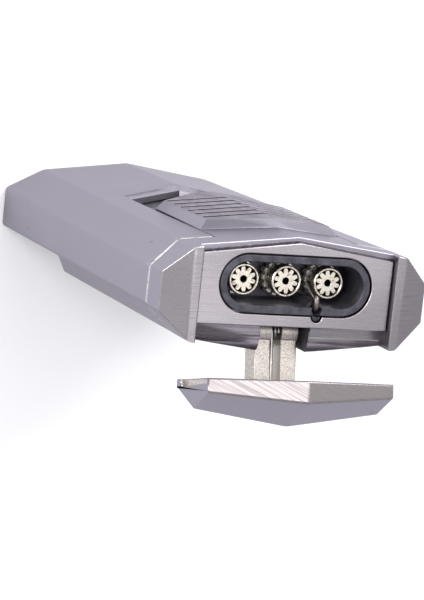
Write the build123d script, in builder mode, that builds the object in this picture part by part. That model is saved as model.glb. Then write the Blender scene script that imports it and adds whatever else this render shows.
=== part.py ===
import math
import os

from build123d import *

os.makedirs("parts", exist_ok=True)

# Frame: Z up along the body, origin on the middle of the base. The thumb slide faces -Y,
# the lid's hinge is at +Y, and X runs across the body. All sizes are in millimetres.

# Clearances
fit = 0.1  # clearance between fixed parts that nest
touch_gap = 0.05  # between parts that bear on each other
push_fit = 0.02  # round parts held in a hole
running_gap = 0.06  # round parts that move in a hole
overlap = 0.2  # how far one block of a part runs into the next
beyond = 1.0  # how far a cutter passes the face that it opens
overshoot = 5.0  # how far a half outline runs past the middle before it is trimmed

# Outside of the body
half_width = 19.0
deck_height = 72.0  # face that the closed lid lies on
seam_height = deck_height - 5.2  # top of the shell, where the head begins
front_ridge = 8.24  # how far the front's middle ridge stands from the origin
front_corner_y = -6.45
front_corner_x_low = half_width - 5.75  # corner between front face and chamfer, at the base
front_corner_x_high = half_width - 3.7  # the same corner at the seam
side_front_y_low = -3.34
side_front_y_high = -2.8
side_back_y = 2.5
back_corner_x = half_width - 4.2
back_corner_y = 6.2
back_ridge = 8.2
low_back_ridge = 6.2  # the back below the raised panel
shell_wall = 1.5

# Raised part of the back: height where its lower edge meets each corner of the outline
raised_edge_side = 28.7
raised_edge_corner = 19.5
raised_edge_middle = 14.0

# Pocket that the slide runs in
pocket_half_width = 10.6
pocket_depth = 1.7
pocket_side_z = seam_height - 35.9
pocket_peak_z = pocket_side_z - 6.1
pocket_flare = 0.7

# Thumb slide
slide_travel = 6.0
slide_half_width = pocket_half_width - 0.5
slide_peak_z = seam_height - 3.6
slide_shoulder_z = slide_peak_z - 2.45
slide_low_z = slide_peak_z - 26.0
slide_low_side_z = slide_low_z + 5.45
slide_low_half_width = 3.4
slide_rise = 1.15  # its top above the front face
slide_sink = 1.3  # its underside below the front face
groove_count = 6
groove_pitch = 2.9
groove_first_z = slide_low_z + 6.5
groove_width = 0.9
groove_depth = 0.5
stem_half_width = 2.0
stem_low_z = slide_low_z + 9.8
stem_high_z = stem_low_z + 6.0
stem_middle_z = (stem_low_z + stem_high_z) / 2
stem_root = 0.5
slide_gap = 0.3

# Head and its ears
seam_gap = 0.25
shoulder_round_y = 5.4
head_screw_head = 1.3
head_screw_head_height = 1.0
head_screw_bite = 2.0
lip_drop = 0.72  # front lip below the deck
seat_drop = 1.5  # thickness of the deck plate
shoulder_drop = 2.0
shoulder_back_drop = 4.2
shoulder_step = 0.4
shoulder_fall = 0.2
shoulder_middle_run = 1.9
shoulder_middle_fall = 0.75
ear_inner_x = half_width - 5.15
ear_rim_x = half_width - 3.8
ear_rise = 1.1
ear_foot_drop = 0.45
spigot_depth = 3.2
spigot_wall = 1.2

# Deck plate and burner
plate_clearance = 0.15
plate_front_peak = 7.46
plate_front_end = 5.62
plate_back = 3.85
jet_pitch = 6.1
jet_count = 3
well_length = (jet_count - 1) * jet_pitch + 9.7
well_width = 8.15
well_centre_y = -1.75
well_gap = 0.2
well_rim = 1.0
well_depth = 8.7
well_floor = 0.8
bump_x = -3.4
bump_radius = 0.8
jet_face_drop = 3.5
jet_head_radius = 2.15
jet_head_height = 2.1
jet_tube_radius = 1.65
jet_wall = 0.36
jet_recess = 0.25
star_lobes = 10
star_thickness = 0.25
star_hole_radius = 0.48
collar_radius = 2.5
collar_height = 1.5
collar_notches = 14
collar_notch = 0.5
jet_bore_radius = 1.0
star_core_radius = 1.0
petal_middle_radius = 1.11
petal_half_length = 0.66
petal_half_width = 0.27
collar_drop = 0.45
manifold_high = deck_height - 9.0
manifold_height = 2.4
manifold_half_width = (jet_count - 1) / 2 * jet_pitch + 2.2
manifold_depth = 3.7
manifold_floor = 0.6
manifold_end = 1.0
gas_tube_x = -manifold_half_width - 2.1
gas_tube_radius = 0.8
gas_tube_bend = 0.95
gas_bore_radius = 0.5
electrode_boss_radius = 1.15
electrode_top_drop = 0.55
sleeve_radius = 0.68
sleeve_top_drop = 1.7
boss_drop = 1.1

# Hinge and lid
pin_y = 5.58
pin_z = deck_height - 6.72
pin_radius = 0.8
pin_half_length = 6.5
open_angle = 77.3
arm_inner_x = 0.75
arm_outer_x = 3.05
arm_low_y = 4.08
arm_high_y = 7.58
slot_half_width = 3.5
lug_width = 3.0
lug_front_y = 3.4
slot_front_y = 3.2
slot_floor_z = seam_height - 4.3
hub_radius = 2.0
foot_half_width = 6.0
foot_thickness = 0.8
rivet_x = 4.6
rivet_y = 0.4  # behind the pin, on the closed lid
rivet_radius = 0.7
rivet_grip = 1.0
lid_spring_radius = 1.3
spring_pitch = 0.5
spring_wire = 0.2
lid_gap = 0.25
lid_half_width = ear_inner_x - 0.55
lid_front_peak = 7.6
lid_front_end = 5.35
lid_front_height = 3.0
lid_front_end_height = 1.9
lid_crest_y = -0.23
lid_crest_height = 6.05
lid_back_ridge = 8.0
lid_back_end = 5.9
lid_back_height = 2.3
lid_dish_depth = 1.2
notch_depth = 0.6
notch_front_y = -lid_front_end + 0.4
notch_back_y = lid_back_end - 1.2
notch_front_height = 0.7
notch_back_height = 1.1

# Inside
base_thickness = 1.8
part_gap = 0.3
tank_half_width = half_width - 7.1
tank_height = 18.1
tank_wall = 1.1
cap_thickness = 1.6
refill_x = 5.0
adjuster_x = -5.0
service_y = -0.5
screw_x = half_width - 4.6
screw_head = 1.6
screw_head_height = 0.8
screw_shank = 0.8
screw_bite = 4.0
driver_slot = 0.5
boss_height = 5.0
boss_width = 4.6
refill_radius = 3.0
refill_neck = 2.4
refill_seat = 2.0
refill_face = 0.2
refill_length = 6.6
refill_mouth = 1.5
refill_mouth_depth = 2.0
refill_stem_radius = 0.8
refill_stem_recess = 0.1
stem_collar_width = 0.7
stem_collar_height = 0.9
adjuster_radius = 2.2
rod_radius = 0.8
rod_in_valve = 1.5
adjuster_slot = 0.7

# Gas valve: it stands on the tank's cap, and the lever lifts its stem
valve_y = 0.6
valve_radius = 2.9
valve_low = 22.0
valve_height = 7.0
valve_outlet_z = valve_low + 4.0
valve_stem_radius = 0.9
valve_stem_engaged = 4.0
valve_stem_lift = 0.5
valve_stem_tip = 0.6
flange_z = 32.6
flange_radius = 1.7
flange_thickness = 0.8

# Lever: a fork under the stem's flange and a long arm that the slide's cam pushes back
lever_half_width = 2.9
lever_pin_y = 2.4
lever_pin_z = 31.8
lever_pin_radius = 0.6
lever_hub_radius = 1.3
lever_arm_root = 1.2
lever_arm_back = 1.1
lever_arm_tip = 0.3
lever_side_gap = 0.2
lever_window = 4.2
fork_gap = 0.3
fork_thickness = 0.9
fork_clearance = 0.25
fork_slot_height = 4.0
flange_window = 2.9
fork_tip_y = -0.9
lug_thickness = 1.2
nose_y = -0.4
nose_z = stem_low_z - 1.0
nose_radius = 0.8
cam_throw = 2.4
cam_half_width = 1.2
cam_gap = 0.15
cam_root = 0.5
cam_run_out = 1.5

# Inner frame behind the mechanism
frame_low = 22.1
frame_front_y = 3.6
frame_thickness = 1.0
frame_half_width = ear_inner_x - 0.65
shelf_z = deck_height - 12.7
shelf_thickness = 1.0
shelf_front_y = -3.8
shelf_half_width = 9.0
shelf_boss_width = 3.0
shelf_boss_height = 2.2
head_screw_x = ear_inner_x - 0.95
head_screw_y = -0.3
head_screw_shank = 0.7

# Piezo igniter
piezo_x = 10.0
piezo_y = 0.7
piezo_low = 23.8
piezo_width = 6.4
piezo_depth = 5.2
piezo_height = 19.2
piezo_floor = 1.2
plunger_width = 4.4
plunger_depth = 3.4
plunger_engaged = 9.0
plunger_gap = 0.08
spring_radius = 1.2
spring_turns = 6
piezo_spring_wire = 0.25
lead_x = half_width - 3.6
lead_z = deck_height - 10.6
lead_radius = 0.55
lead_bend = 0.7
lead_end_gap = 0.15
lead_exit_z = piezo_low + 12.0
electrode_x = bump_x
electrode_y = 1.45
electrode_radius = 0.45
electrode_foot = 0.5
electrode_reach = 1.3
electrode_lean = 0.35
electrode_bend = 0.6

# Track behind the pocket, and the carrier screwed to the slide's stem
track_low = pocket_peak_z - 2.0
track_high = seam_height - 4.8
track_half_width = pocket_half_width + 1.6
track_back_y = -4.3
carrier_front_y = -4.0
carrier_thickness = 1.7
carrier_low = stem_low_z - 5.0
carrier_high = stem_high_z + 5.0
carrier_half_width = 9.5
carrier_shelf_z = stem_low_z + 3.3
carrier_shelf_thickness = 2.0
carrier_screw_shank = 0.7
carrier_screw_bite = 2.4
carrier_screw_head = 1.5
carrier_screw_head_height = 0.9

# The cam's face rises by cam_throw over the slide's travel, and clears the lever's nose
cam_slope = cam_throw / slide_travel
cam_tilt = math.hypot(1, cam_slope)
cam_at_nose = nose_y - (nose_radius + cam_gap) * cam_tilt
cam_top = nose_z + slide_travel + cam_run_out
carrier_back_y = carrier_front_y + carrier_thickness
cam_points = [
    (carrier_back_y - cam_root, nose_z + (carrier_back_y - cam_at_nose) / cam_slope),
    (carrier_back_y, nose_z + (carrier_back_y - cam_at_nose) / cam_slope),
    (cam_at_nose + (cam_top - nose_z) * cam_slope, cam_top),
    (carrier_back_y, cam_top + cam_run_out),
    (carrier_back_y - cam_root, cam_top + cam_run_out),
]


def low_section(corner_x, side_front_y):
    """Outline of the body below the raised back, anticlockwise from the front ridge."""
    return [
        (0, -front_ridge),
        (corner_x, front_corner_y),
        (half_width, side_front_y),
        (half_width, side_back_y),
        (0, low_back_ridge),
        (-half_width, side_back_y),
        (-half_width, side_front_y),
        (-corner_x, front_corner_y),
    ]


full_section = [
    (0, -front_ridge),
    (front_corner_x_high, front_corner_y),
    (half_width, side_front_y_high),
    (half_width, side_back_y),
    (back_corner_x, back_corner_y),
    (0, back_ridge),
    (-back_corner_x, back_corner_y),
    (-half_width, side_back_y),
    (-half_width, side_front_y_high),
    (-front_corner_x_high, front_corner_y),
]
base_outline = low_section(front_corner_x_low, side_front_y_low)
seam_outline = low_section(front_corner_x_high, side_front_y_high)

# The front is a shallow roof. front_face lies on its right half, with local x down the
# slope from the ridge, local y along Z and local z outwards.
front_slope = math.atan2(front_ridge + front_corner_y, front_corner_x_high)
front_face = Plane(
    origin=(0, -front_ridge, 0),
    x_dir=(math.cos(front_slope), math.sin(front_slope), 0),
    z_dir=(math.sin(front_slope), -math.cos(front_slope), 0),
)


def raised_outline(inset):
    """The raised back seen from behind, from its lower edge to the seam, less a wall."""
    side = half_width - inset
    return [
        (-side, raised_edge_side + inset),
        (-back_corner_x, raised_edge_corner + inset),
        (0, raised_edge_middle + inset),
        (back_corner_x, raised_edge_corner + inset),
        (side, raised_edge_side + inset),
        (side, seam_height),
        (-side, seam_height),
    ]


def half_roof(points, depth, height, taper=0):
    """A prism on the right half of the front: from depth inside it up to height outside."""
    with BuildPart() as half:
        with BuildSketch(front_face.offset(-depth)):
            Polygon(*points, align=None)
        extrude(amount=depth + height, taper=taper)
        split(bisect_by=Plane.YZ, keep=Keep.TOP)
    return half.part


# ---------------------------------------------------------------- shell
with BuildPart() as raised_back:
    with BuildSketch(Plane.XY.offset(0)):
        Polygon(*full_section, align=None)
    extrude(amount=seam_height)
    with BuildSketch(Plane.XZ):
        Polygon(*raised_outline(0), align=None)
    extrude(amount=-2 * back_ridge, mode=Mode.INTERSECT)

with BuildPart() as raised_hollow:
    with BuildSketch(Plane.XY.offset(0)):
        Polygon(*full_section, align=None)
        offset(amount=-shell_wall, kind=Kind.INTERSECTION)
    extrude(amount=seam_height)
    with BuildSketch(Plane.XZ):
        Polygon(*raised_outline(shell_wall), align=None)
    extrude(amount=-2 * back_ridge, mode=Mode.INTERSECT)

pocket_outline = [
    (-overshoot, seam_height + overshoot),
    (-overshoot, pocket_peak_z),
    (0, pocket_peak_z),
    (pocket_half_width, pocket_side_z),
    (pocket_half_width, seam_height + overshoot),
]
flare_drop = pocket_flare * math.hypot(1, (pocket_side_z - pocket_peak_z) / pocket_half_width)
flare_outline = [
    (-overshoot, seam_height),
    (-overshoot, pocket_peak_z - flare_drop),
    (0, pocket_peak_z - flare_drop),
    (pocket_half_width, pocket_side_z - flare_drop),
    (pocket_half_width, seam_height),
]
pocket_half = half_roof(pocket_outline, shell_wall + beyond, beyond)
with BuildPart() as flare:
    with BuildSketch(front_face):
        Polygon(*flare_outline, align=None)
    extrude(amount=-pocket_flare, taper=45)
    split(bisect_by=Plane.YZ, keep=Keep.TOP)

with BuildPart() as body_shell:
    with BuildSketch(Plane.XY):
        Polygon(*base_outline, align=None)
    with BuildSketch(Plane.XY.offset(seam_height)):
        Polygon(*seam_outline, align=None)
    loft(ruled=True)
    add(raised_back.part)
    with BuildSketch(Plane.XY):
        Polygon(*base_outline, align=None)
        offset(amount=-shell_wall, kind=Kind.INTERSECTION)
    with BuildSketch(Plane.XY.offset(seam_height)):
        Polygon(*seam_outline, align=None)
        offset(amount=-shell_wall, kind=Kind.INTERSECTION)
    loft(ruled=True, mode=Mode.SUBTRACT)
    add(raised_hollow.part, mode=Mode.SUBTRACT)
    add(pocket_half, mode=Mode.SUBTRACT)
    add(mirror(pocket_half, about=Plane.YZ, mode=Mode.PRIVATE), mode=Mode.SUBTRACT)
    add(flare.part, mode=Mode.SUBTRACT)
    add(mirror(flare.part, about=Plane.YZ, mode=Mode.PRIVATE), mode=Mode.SUBTRACT)
    with Locations((0, back_ridge, seam_height)):
        Box(
            2 * (slot_half_width + lug_width + fit),
            2 * (back_ridge - pin_y + hub_radius),
            2 * (seam_height - slot_floor_z),
            mode=Mode.SUBTRACT,
        )
    with Locations((screw_x, service_y, base_thickness), (-screw_x, service_y, base_thickness)):
        Box(boss_width, boss_width, boss_height, align=(Align.CENTER, Align.CENTER, Align.MIN))
    with Locations((screw_x, service_y, base_thickness), (-screw_x, service_y, base_thickness)):
        Cylinder(
            screw_shank + touch_gap,
            screw_bite,
            align=(Align.CENTER, Align.CENTER, Align.MIN),
            mode=Mode.SUBTRACT,
        )


def save(name, part):
    """Label a finished piece and write it under its node name."""
    part.label = name
    export_step(part, f"parts/{name}.step")
    print(name, len(part.solids()), round(part.volume, 2))


up = (Align.CENTER, Align.CENTER, Align.MIN)
down = (Align.CENTER, Align.CENTER, Align.MAX)
save("body_shell", body_shell.part)

# ---------------------------------------------------------------- base
with BuildPart() as base_plate:
    with BuildSketch(Plane.XY):
        Polygon(*base_outline, align=None)
        offset(amount=-shell_wall - fit, kind=Kind.INTERSECTION)
    extrude(amount=base_thickness - fit)
    with Locations((refill_x, service_y, 0)):
        Cylinder(refill_radius + fit, 3 * base_thickness, mode=Mode.SUBTRACT)
    with Locations((adjuster_x, service_y, 0)):
        Cylinder(adjuster_radius + fit, 3 * base_thickness, mode=Mode.SUBTRACT)
    with Locations((screw_x, service_y, 0), (-screw_x, service_y, 0)):
        Cylinder(screw_head + fit, 2 * screw_head_height + fit, mode=Mode.SUBTRACT)
        Cylinder(screw_shank + fit, 3 * base_thickness, mode=Mode.SUBTRACT)
save("base_plate", base_plate.part)

with BuildPart() as base_screws:
    with Locations((screw_x, service_y, fit), (-screw_x, service_y, fit)):
        Cylinder(screw_head, screw_head_height - fit, align=up)
        Cylinder(screw_shank, boss_height, align=up)
    with Locations((screw_x, service_y, 0), (-screw_x, service_y, 0)):
        Box(2 * screw_head, driver_slot, 2 * driver_slot, mode=Mode.SUBTRACT)
save("base_screws", base_screws.part)

# ---------------------------------------------------------------- fuel tank and its valves
tank_low = base_thickness + part_gap
tank_high = tank_low + tank_height
with BuildPart() as fuel_tank:
    with BuildSketch(Plane.XY.offset(tank_low)):
        Polygon(*base_outline, align=None)
        offset(amount=-shell_wall - part_gap, kind=Kind.INTERSECTION)
        Rectangle(2 * tank_half_width, 4 * half_width, mode=Mode.INTERSECT)
    extrude(amount=tank_height)
    with BuildSketch(Plane.XY.offset(tank_low + tank_wall)):
        Polygon(*base_outline, align=None)
        offset(amount=-shell_wall - part_gap - tank_wall, kind=Kind.INTERSECTION)
        Rectangle(2 * (tank_half_width - tank_wall), 4 * half_width, mode=Mode.INTERSECT)
    extrude(amount=tank_height, mode=Mode.SUBTRACT)
    with Locations((adjuster_x, service_y, tank_low)):
        Cylinder(rod_radius + tank_wall, tank_height, align=up)
    with Locations((refill_x, service_y, tank_low)):
        Cylinder(refill_neck + tank_wall, refill_seat + tank_wall, align=up)
    with Locations((adjuster_x, service_y, tank_low)):
        Cylinder(rod_radius + fit, 3 * tank_height, mode=Mode.SUBTRACT)
    with Locations((refill_x, service_y, tank_low)):
        Cylinder(refill_neck + fit, 4 * refill_seat, mode=Mode.SUBTRACT)
save("fuel_tank", fuel_tank.part)

with BuildPart() as tank_cap:
    with BuildSketch(Plane.XY.offset(tank_high)):
        Polygon(*base_outline, align=None)
        offset(amount=-shell_wall - part_gap, kind=Kind.INTERSECTION)
        Rectangle(2 * tank_half_width, 4 * half_width, mode=Mode.INTERSECT)
    extrude(amount=cap_thickness)
    with Locations((adjuster_x, service_y, tank_high)):
        Cylinder(rod_radius + fit, 4 * cap_thickness, mode=Mode.SUBTRACT)
save("tank_cap", tank_cap.part)

with BuildPart() as refill_valve:
    with Locations((refill_x, service_y, refill_face)):
        Cylinder(refill_radius, tank_low - refill_face - touch_gap, align=up)
        Cylinder(refill_neck, refill_length, align=up)
        Cylinder(refill_mouth, 2 * refill_mouth_depth, mode=Mode.SUBTRACT)
        Cylinder(refill_stem_radius + running_gap, 4 * refill_length, mode=Mode.SUBTRACT)
save("refill_valve", refill_valve.part)

with BuildPart() as refill_stem:
    with Locations((refill_x, service_y, refill_face + refill_mouth_depth + refill_stem_recess)):
        Cylinder(refill_stem_radius, refill_length + stem_collar_height, align=up)
    with Locations((refill_x, service_y, refill_face + refill_length + fit)):
        Cylinder(refill_stem_radius + stem_collar_width, stem_collar_height, align=up)
save("refill_stem", refill_stem.part)

with BuildPart() as flame_adjuster:
    with Locations((adjuster_x, service_y, refill_face)):
        Cylinder(adjuster_radius, base_thickness - refill_face, align=up)
        Cylinder(rod_radius, valve_low + rod_in_valve - refill_face, align=up)
    with Locations((adjuster_x, service_y, refill_face)):
        Box(2 * adjuster_radius, adjuster_slot, 2 * adjuster_slot, mode=Mode.SUBTRACT)
save("flame_adjuster", flame_adjuster.part)

with BuildPart() as valve_body:
    with Locations((adjuster_x, valve_y, valve_low)):
        Cylinder(valve_radius, valve_height, align=up)
    with Locations((adjuster_x, service_y, valve_low)):
        Cylinder(rod_radius + fit, 2 * (rod_in_valve + part_gap), mode=Mode.SUBTRACT)
    with Locations((adjuster_x, valve_y, valve_low + valve_height)):
        Cylinder(valve_stem_radius + running_gap, 2 * valve_stem_engaged, mode=Mode.SUBTRACT)
save("valve_body", valve_body.part)

stem_base_z = valve_low + valve_height - valve_stem_engaged + valve_stem_lift
with BuildPart() as valve_stem:
    with Locations((adjuster_x, valve_y, stem_base_z)):
        Cylinder(valve_stem_radius, flange_z + flange_thickness + valve_stem_tip - stem_base_z, align=up)
    with Locations((adjuster_x, valve_y, flange_z)):
        Cylinder(flange_radius, flange_thickness, align=up)
save("valve_stem", valve_stem.part)

# ---------------------------------------------------------------- valve lever
lever_plane = Plane(origin=(adjuster_x, 0, 0), x_dir=(0, 1, 0), z_dir=(1, 0, 0))
with BuildPart() as valve_lever:
    with BuildSketch(lever_plane.offset(-lever_half_width)):
        with Locations((lever_pin_y, lever_pin_z)):
            Circle(lever_hub_radius)
        Polygon(
            (lever_pin_y - lever_arm_root, lever_pin_z),
            (lever_pin_y + lever_arm_back, lever_pin_z),
            (nose_y + lever_arm_back, nose_z),
            (nose_y - lever_arm_tip, nose_z),
            align=None,
        )
        with Locations((nose_y, nose_z)):
            Circle(nose_radius)
        Polygon(
            (fork_tip_y, flange_z - fork_gap),
            (lever_pin_y, flange_z - fork_gap),
            (lever_pin_y, flange_z - fork_gap - fork_thickness),
            (fork_tip_y, flange_z - fork_gap - fork_thickness),
            align=None,
        )
    extrude(amount=2 * lever_half_width)
    with BuildSketch(lever_plane.offset(-2 * lever_half_width)):
        with Locations((lever_pin_y, lever_pin_z)):
            Circle(lever_pin_radius + running_gap)
    extrude(amount=4 * lever_half_width, mode=Mode.SUBTRACT)
    with Locations((adjuster_x, valve_y + valve_stem_radius + fork_clearance, lever_pin_z)):
        Box(
            2 * (valve_stem_radius + fork_clearance),
            4 * flange_radius,
            fork_slot_height,
            align=(Align.CENTER, Align.MAX, Align.CENTER),
            mode=Mode.SUBTRACT,
        )
    with Locations((adjuster_x, valve_y + flange_radius + fork_clearance, flange_z - fork_gap)):
        Box(
            2 * (flange_radius + fork_clearance),
            4 * flange_radius,
            flange_window,
            align=(Align.CENTER, Align.MAX, Align.MIN),
            mode=Mode.SUBTRACT,
        )
save("valve_lever", valve_lever.part)

with BuildPart() as lever_pin:
    with BuildSketch(lever_plane.offset(-lever_half_width - lever_side_gap - lug_thickness)):
        with Locations((lever_pin_y, lever_pin_z)):
            Circle(lever_pin_radius)
    extrude(amount=2 * (lever_half_width + lever_side_gap + lug_thickness))
save("lever_pin", lever_pin.part)

# ---------------------------------------------------------------- inner frame
with BuildPart() as inner_frame:
    with BuildSketch(Plane.XY.offset(frame_low)):
        with Locations((0, frame_front_y + frame_thickness / 2)):
            Rectangle(2 * frame_half_width, frame_thickness)
    extrude(amount=shelf_z + shelf_thickness - frame_low)
    with Locations((0, shelf_front_y, shelf_z)):
        Box(
            2 * shelf_half_width,
            frame_front_y + frame_thickness - shelf_front_y,
            shelf_thickness,
            align=(Align.CENTER, Align.MIN, Align.MIN),
        )
    shelf_boss_z = shelf_z - shelf_boss_height
    shelf_boss_depth = 2 * (frame_front_y - head_screw_y)
    with Locations((head_screw_x, head_screw_y, shelf_boss_z), (-head_screw_x, head_screw_y, shelf_boss_z)):
        Box(shelf_boss_width, shelf_boss_depth, shelf_boss_height + shelf_thickness, align=up)
    with Locations((head_screw_x, head_screw_y, shelf_z), (-head_screw_x, head_screw_y, shelf_z)):
        Cylinder(head_screw_shank + touch_gap, 4 * shelf_boss_height, mode=Mode.SUBTRACT)
    for side in (-1, 1):
        lug_x = adjuster_x + side * (lever_half_width + lever_side_gap + lug_thickness / 2)
        with Locations((lug_x, frame_front_y + overlap, lever_pin_z)):
            Box(
                lug_thickness,
                frame_front_y + overlap - lever_pin_y + lever_hub_radius,
                2 * (lever_hub_radius + part_gap),
                align=(Align.CENTER, Align.MAX, Align.CENTER),
            )
    with BuildSketch(lever_plane.offset(-half_width)):
        with Locations((lever_pin_y, lever_pin_z)):
            Circle(lever_pin_radius)
    extrude(amount=2 * half_width, mode=Mode.SUBTRACT)
    with Locations((adjuster_x, frame_front_y + frame_thickness, lever_pin_z)):
        Box(2 * (lever_half_width + lever_side_gap), 3 * frame_thickness, lever_window, mode=Mode.SUBTRACT)
    with Locations((piezo_x, frame_front_y + overlap, piezo_low)):
        Box(
            piezo_width,
            frame_front_y + overlap - piezo_y + piezo_depth / 2,
            frame_thickness,
            align=(Align.CENTER, Align.MAX, Align.MAX),
        )
save("inner_frame", inner_frame.part)

# ---------------------------------------------------------------- piezo igniter
with BuildPart() as piezo_body:
    with Locations((piezo_x, piezo_y, piezo_low)):
        Box(piezo_width, piezo_depth, piezo_height, align=up)
    with Locations((piezo_x, piezo_y, piezo_low + piezo_floor)):
        Box(
            plunger_width + 2 * plunger_gap,
            plunger_depth + 2 * plunger_gap,
            piezo_height,
            align=up,
            mode=Mode.SUBTRACT,
        )
save("piezo_body", piezo_body.part)

plunger_low = piezo_low + piezo_height - plunger_engaged
with BuildPart() as piezo_plunger:
    with Locations((piezo_x, piezo_y, plunger_low)):
        Box(plunger_width, plunger_depth, carrier_shelf_z - touch_gap - plunger_low, align=up)
save("piezo_plunger", piezo_plunger.part)

spring_low = piezo_low + piezo_floor + touch_gap + piezo_spring_wire
spring_length = plunger_low - touch_gap - piezo_spring_wire - spring_low
with BuildPart() as piezo_spring:
    with BuildLine() as coil:
        Helix(
            pitch=spring_length / spring_turns,
            height=spring_length,
            radius=spring_radius,
            center=(piezo_x, piezo_y, spring_low),
        )
    with BuildSketch(Plane(origin=coil.line @ 0, z_dir=coil.line % 0)):
        Circle(piezo_spring_wire)
    sweep(is_frenet=True)
save("piezo_spring", piezo_spring.part)

lead_points = [
    (piezo_x + piezo_width / 2 + touch_gap, piezo_y, lead_exit_z),
    (lead_x, piezo_y, lead_exit_z),
    (lead_x, electrode_y, lead_z),
    (electrode_x + electrode_radius + lead_end_gap, electrode_y, lead_z),
]
with BuildPart() as ignition_lead:
    with BuildLine() as lead_path:
        FilletPolyline(*lead_points, radius=lead_bend)
    with BuildSketch(Plane(origin=lead_path.line @ 0, z_dir=lead_path.line % 0)):
        Circle(lead_radius)
    sweep()
save("ignition_lead", ignition_lead.part)

# ---------------------------------------------------------------- slide and what it carries
track_points = [
    (0, -front_ridge + pocket_depth),
    (track_half_width, -front_ridge + pocket_depth + track_half_width * math.tan(front_slope)),
    (track_half_width, track_back_y),
    (-track_half_width, track_back_y),
    (-track_half_width, -front_ridge + pocket_depth + track_half_width * math.tan(front_slope)),
]
with BuildPart() as slide_track:
    with BuildSketch(Plane.XY.offset(track_low)):
        Polygon(*track_points, align=None)
    extrude(amount=track_high - track_low)
    with Locations((0, track_back_y, stem_low_z - slide_travel - slide_gap)):
        Box(
            2 * (stem_half_width + slide_gap),
            10,
            stem_high_z - stem_low_z + slide_travel + 2 * slide_gap,
            align=up,
            mode=Mode.SUBTRACT,
        )
save("slide_track", slide_track.part)

slide_outline = [
    (-overshoot, slide_peak_z + overshoot * (slide_peak_z - slide_shoulder_z) / slide_half_width),
    (-overshoot, slide_low_z),
    (slide_low_half_width, slide_low_z),
    (slide_half_width, slide_low_side_z),
    (slide_half_width, slide_shoulder_z),
]
slide_foot = half_roof(slide_outline, slide_sink, 0)
with BuildPart() as slide_top:
    with BuildSketch(front_face):
        Polygon(*slide_outline, align=None)
    extrude(amount=slide_rise, taper=45)
    with BuildSketch(front_face.offset(slide_rise - groove_depth)):
        for row in range(groove_count):
            with Locations((0, groove_first_z + row * groove_pitch)):
                Rectangle(2 * (slide_half_width - slide_rise - fit), groove_width)
    extrude(amount=2 * groove_depth, mode=Mode.SUBTRACT)
    split(bisect_by=Plane.YZ, keep=Keep.TOP)
with BuildPart() as trigger:
    add(slide_foot)
    add(slide_top.part)
    mirror(about=Plane.YZ)
    with Locations((0, -front_ridge + slide_sink - stem_root, stem_middle_z)):
        Box(
            2 * stem_half_width,
            front_ridge - slide_sink + stem_root + carrier_front_y,
            stem_high_z - stem_low_z,
            align=(Align.CENTER, Align.MIN, Align.CENTER),
        )
    with BuildSketch(Plane.XZ.offset(-carrier_front_y)):
        with Locations((0, stem_middle_z)):
            Circle(carrier_screw_shank)
    extrude(amount=carrier_screw_bite + overlap, mode=Mode.SUBTRACT)
save("trigger", trigger.part)

with BuildPart() as trigger_carrier:
    with Locations((0, carrier_front_y, carrier_low)):
        Box(
            2 * carrier_half_width,
            carrier_thickness,
            carrier_high - carrier_low,
            align=(Align.CENTER, Align.MIN, Align.MIN),
        )
    with Locations((piezo_x, carrier_front_y, carrier_shelf_z)):
        Box(
            piezo_width,
            piezo_y + piezo_depth / 2 - carrier_front_y,
            carrier_shelf_thickness,
            align=(Align.CENTER, Align.MIN, Align.MIN),
        )
    with BuildSketch(lever_plane.offset(-cam_half_width)):
        Polygon(*cam_points, align=None)
    extrude(amount=2 * cam_half_width)
    with BuildSketch(Plane.XZ.offset(-carrier_front_y - 4 * carrier_thickness)):
        with Locations((0, stem_middle_z)):
            Circle(carrier_screw_shank + fit)
    extrude(amount=8 * carrier_thickness, mode=Mode.SUBTRACT)
save("trigger_carrier", trigger_carrier.part)

with BuildPart() as carrier_screw:
    with BuildSketch(Plane.XZ.offset(-carrier_front_y - carrier_thickness)):
        with Locations((0, stem_middle_z)):
            Circle(carrier_screw_head)
    extrude(amount=-carrier_screw_head_height)
    with BuildSketch(Plane.XZ.offset(-carrier_front_y - carrier_thickness)):
        with Locations((0, stem_middle_z)):
            Circle(carrier_screw_shank)
    extrude(amount=carrier_thickness + carrier_screw_bite)
save("carrier_screw", carrier_screw.part)

# ---------------------------------------------------------------- head
block_low = seam_height + seam_gap
ear_high = deck_height + ear_rise
lip_z = deck_height - lip_drop
seat_z = deck_height - seat_drop
plate_half_width = ear_inner_x - plate_clearance
plate_outline = [
    (0, -plate_front_peak),
    (plate_half_width, -plate_front_end),
    (plate_half_width, plate_back),
    (-plate_half_width, plate_back),
    (-plate_half_width, -plate_front_end),
]
ear_cut = [
    (ear_rim_x, ear_high + beyond),
    (ear_rim_x, ear_high),
    (half_width, deck_height - ear_foot_drop),
    (half_width + beyond, deck_height - ear_foot_drop),
    (half_width + beyond, ear_high + beyond),
]
tongue_outline = [
    (-overshoot, block_low + fit),
    (-overshoot, slide_outline[0][1] + slide_gap),
    (0, slide_peak_z + slide_gap),
    (pocket_half_width - fit, slide_shoulder_z + slide_gap),
    (pocket_half_width - fit, block_low + fit),
]
tongue_half = half_roof(tongue_outline, shell_wall + fit + touch_gap, 0)
spigot_inset = shell_wall + fit

# Profile of the rounded shoulders behind the deck, as (y, z)
shoulder_front_y = plate_back - shoulder_step
shoulder_front = (shoulder_front_y, deck_height - shoulder_drop)
shoulder_turn = (shoulder_round_y, deck_height - shoulder_drop - shoulder_fall)
shoulder_middle = (shoulder_round_y + shoulder_middle_run, deck_height - shoulder_drop - shoulder_middle_fall)
shoulder_end = (back_ridge + part_gap, deck_height - shoulder_back_drop)
shoulder_above_back = (back_ridge + beyond, deck_height + 2 * beyond)
shoulder_above_front = (shoulder_front_y, deck_height + 2 * beyond)

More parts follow.
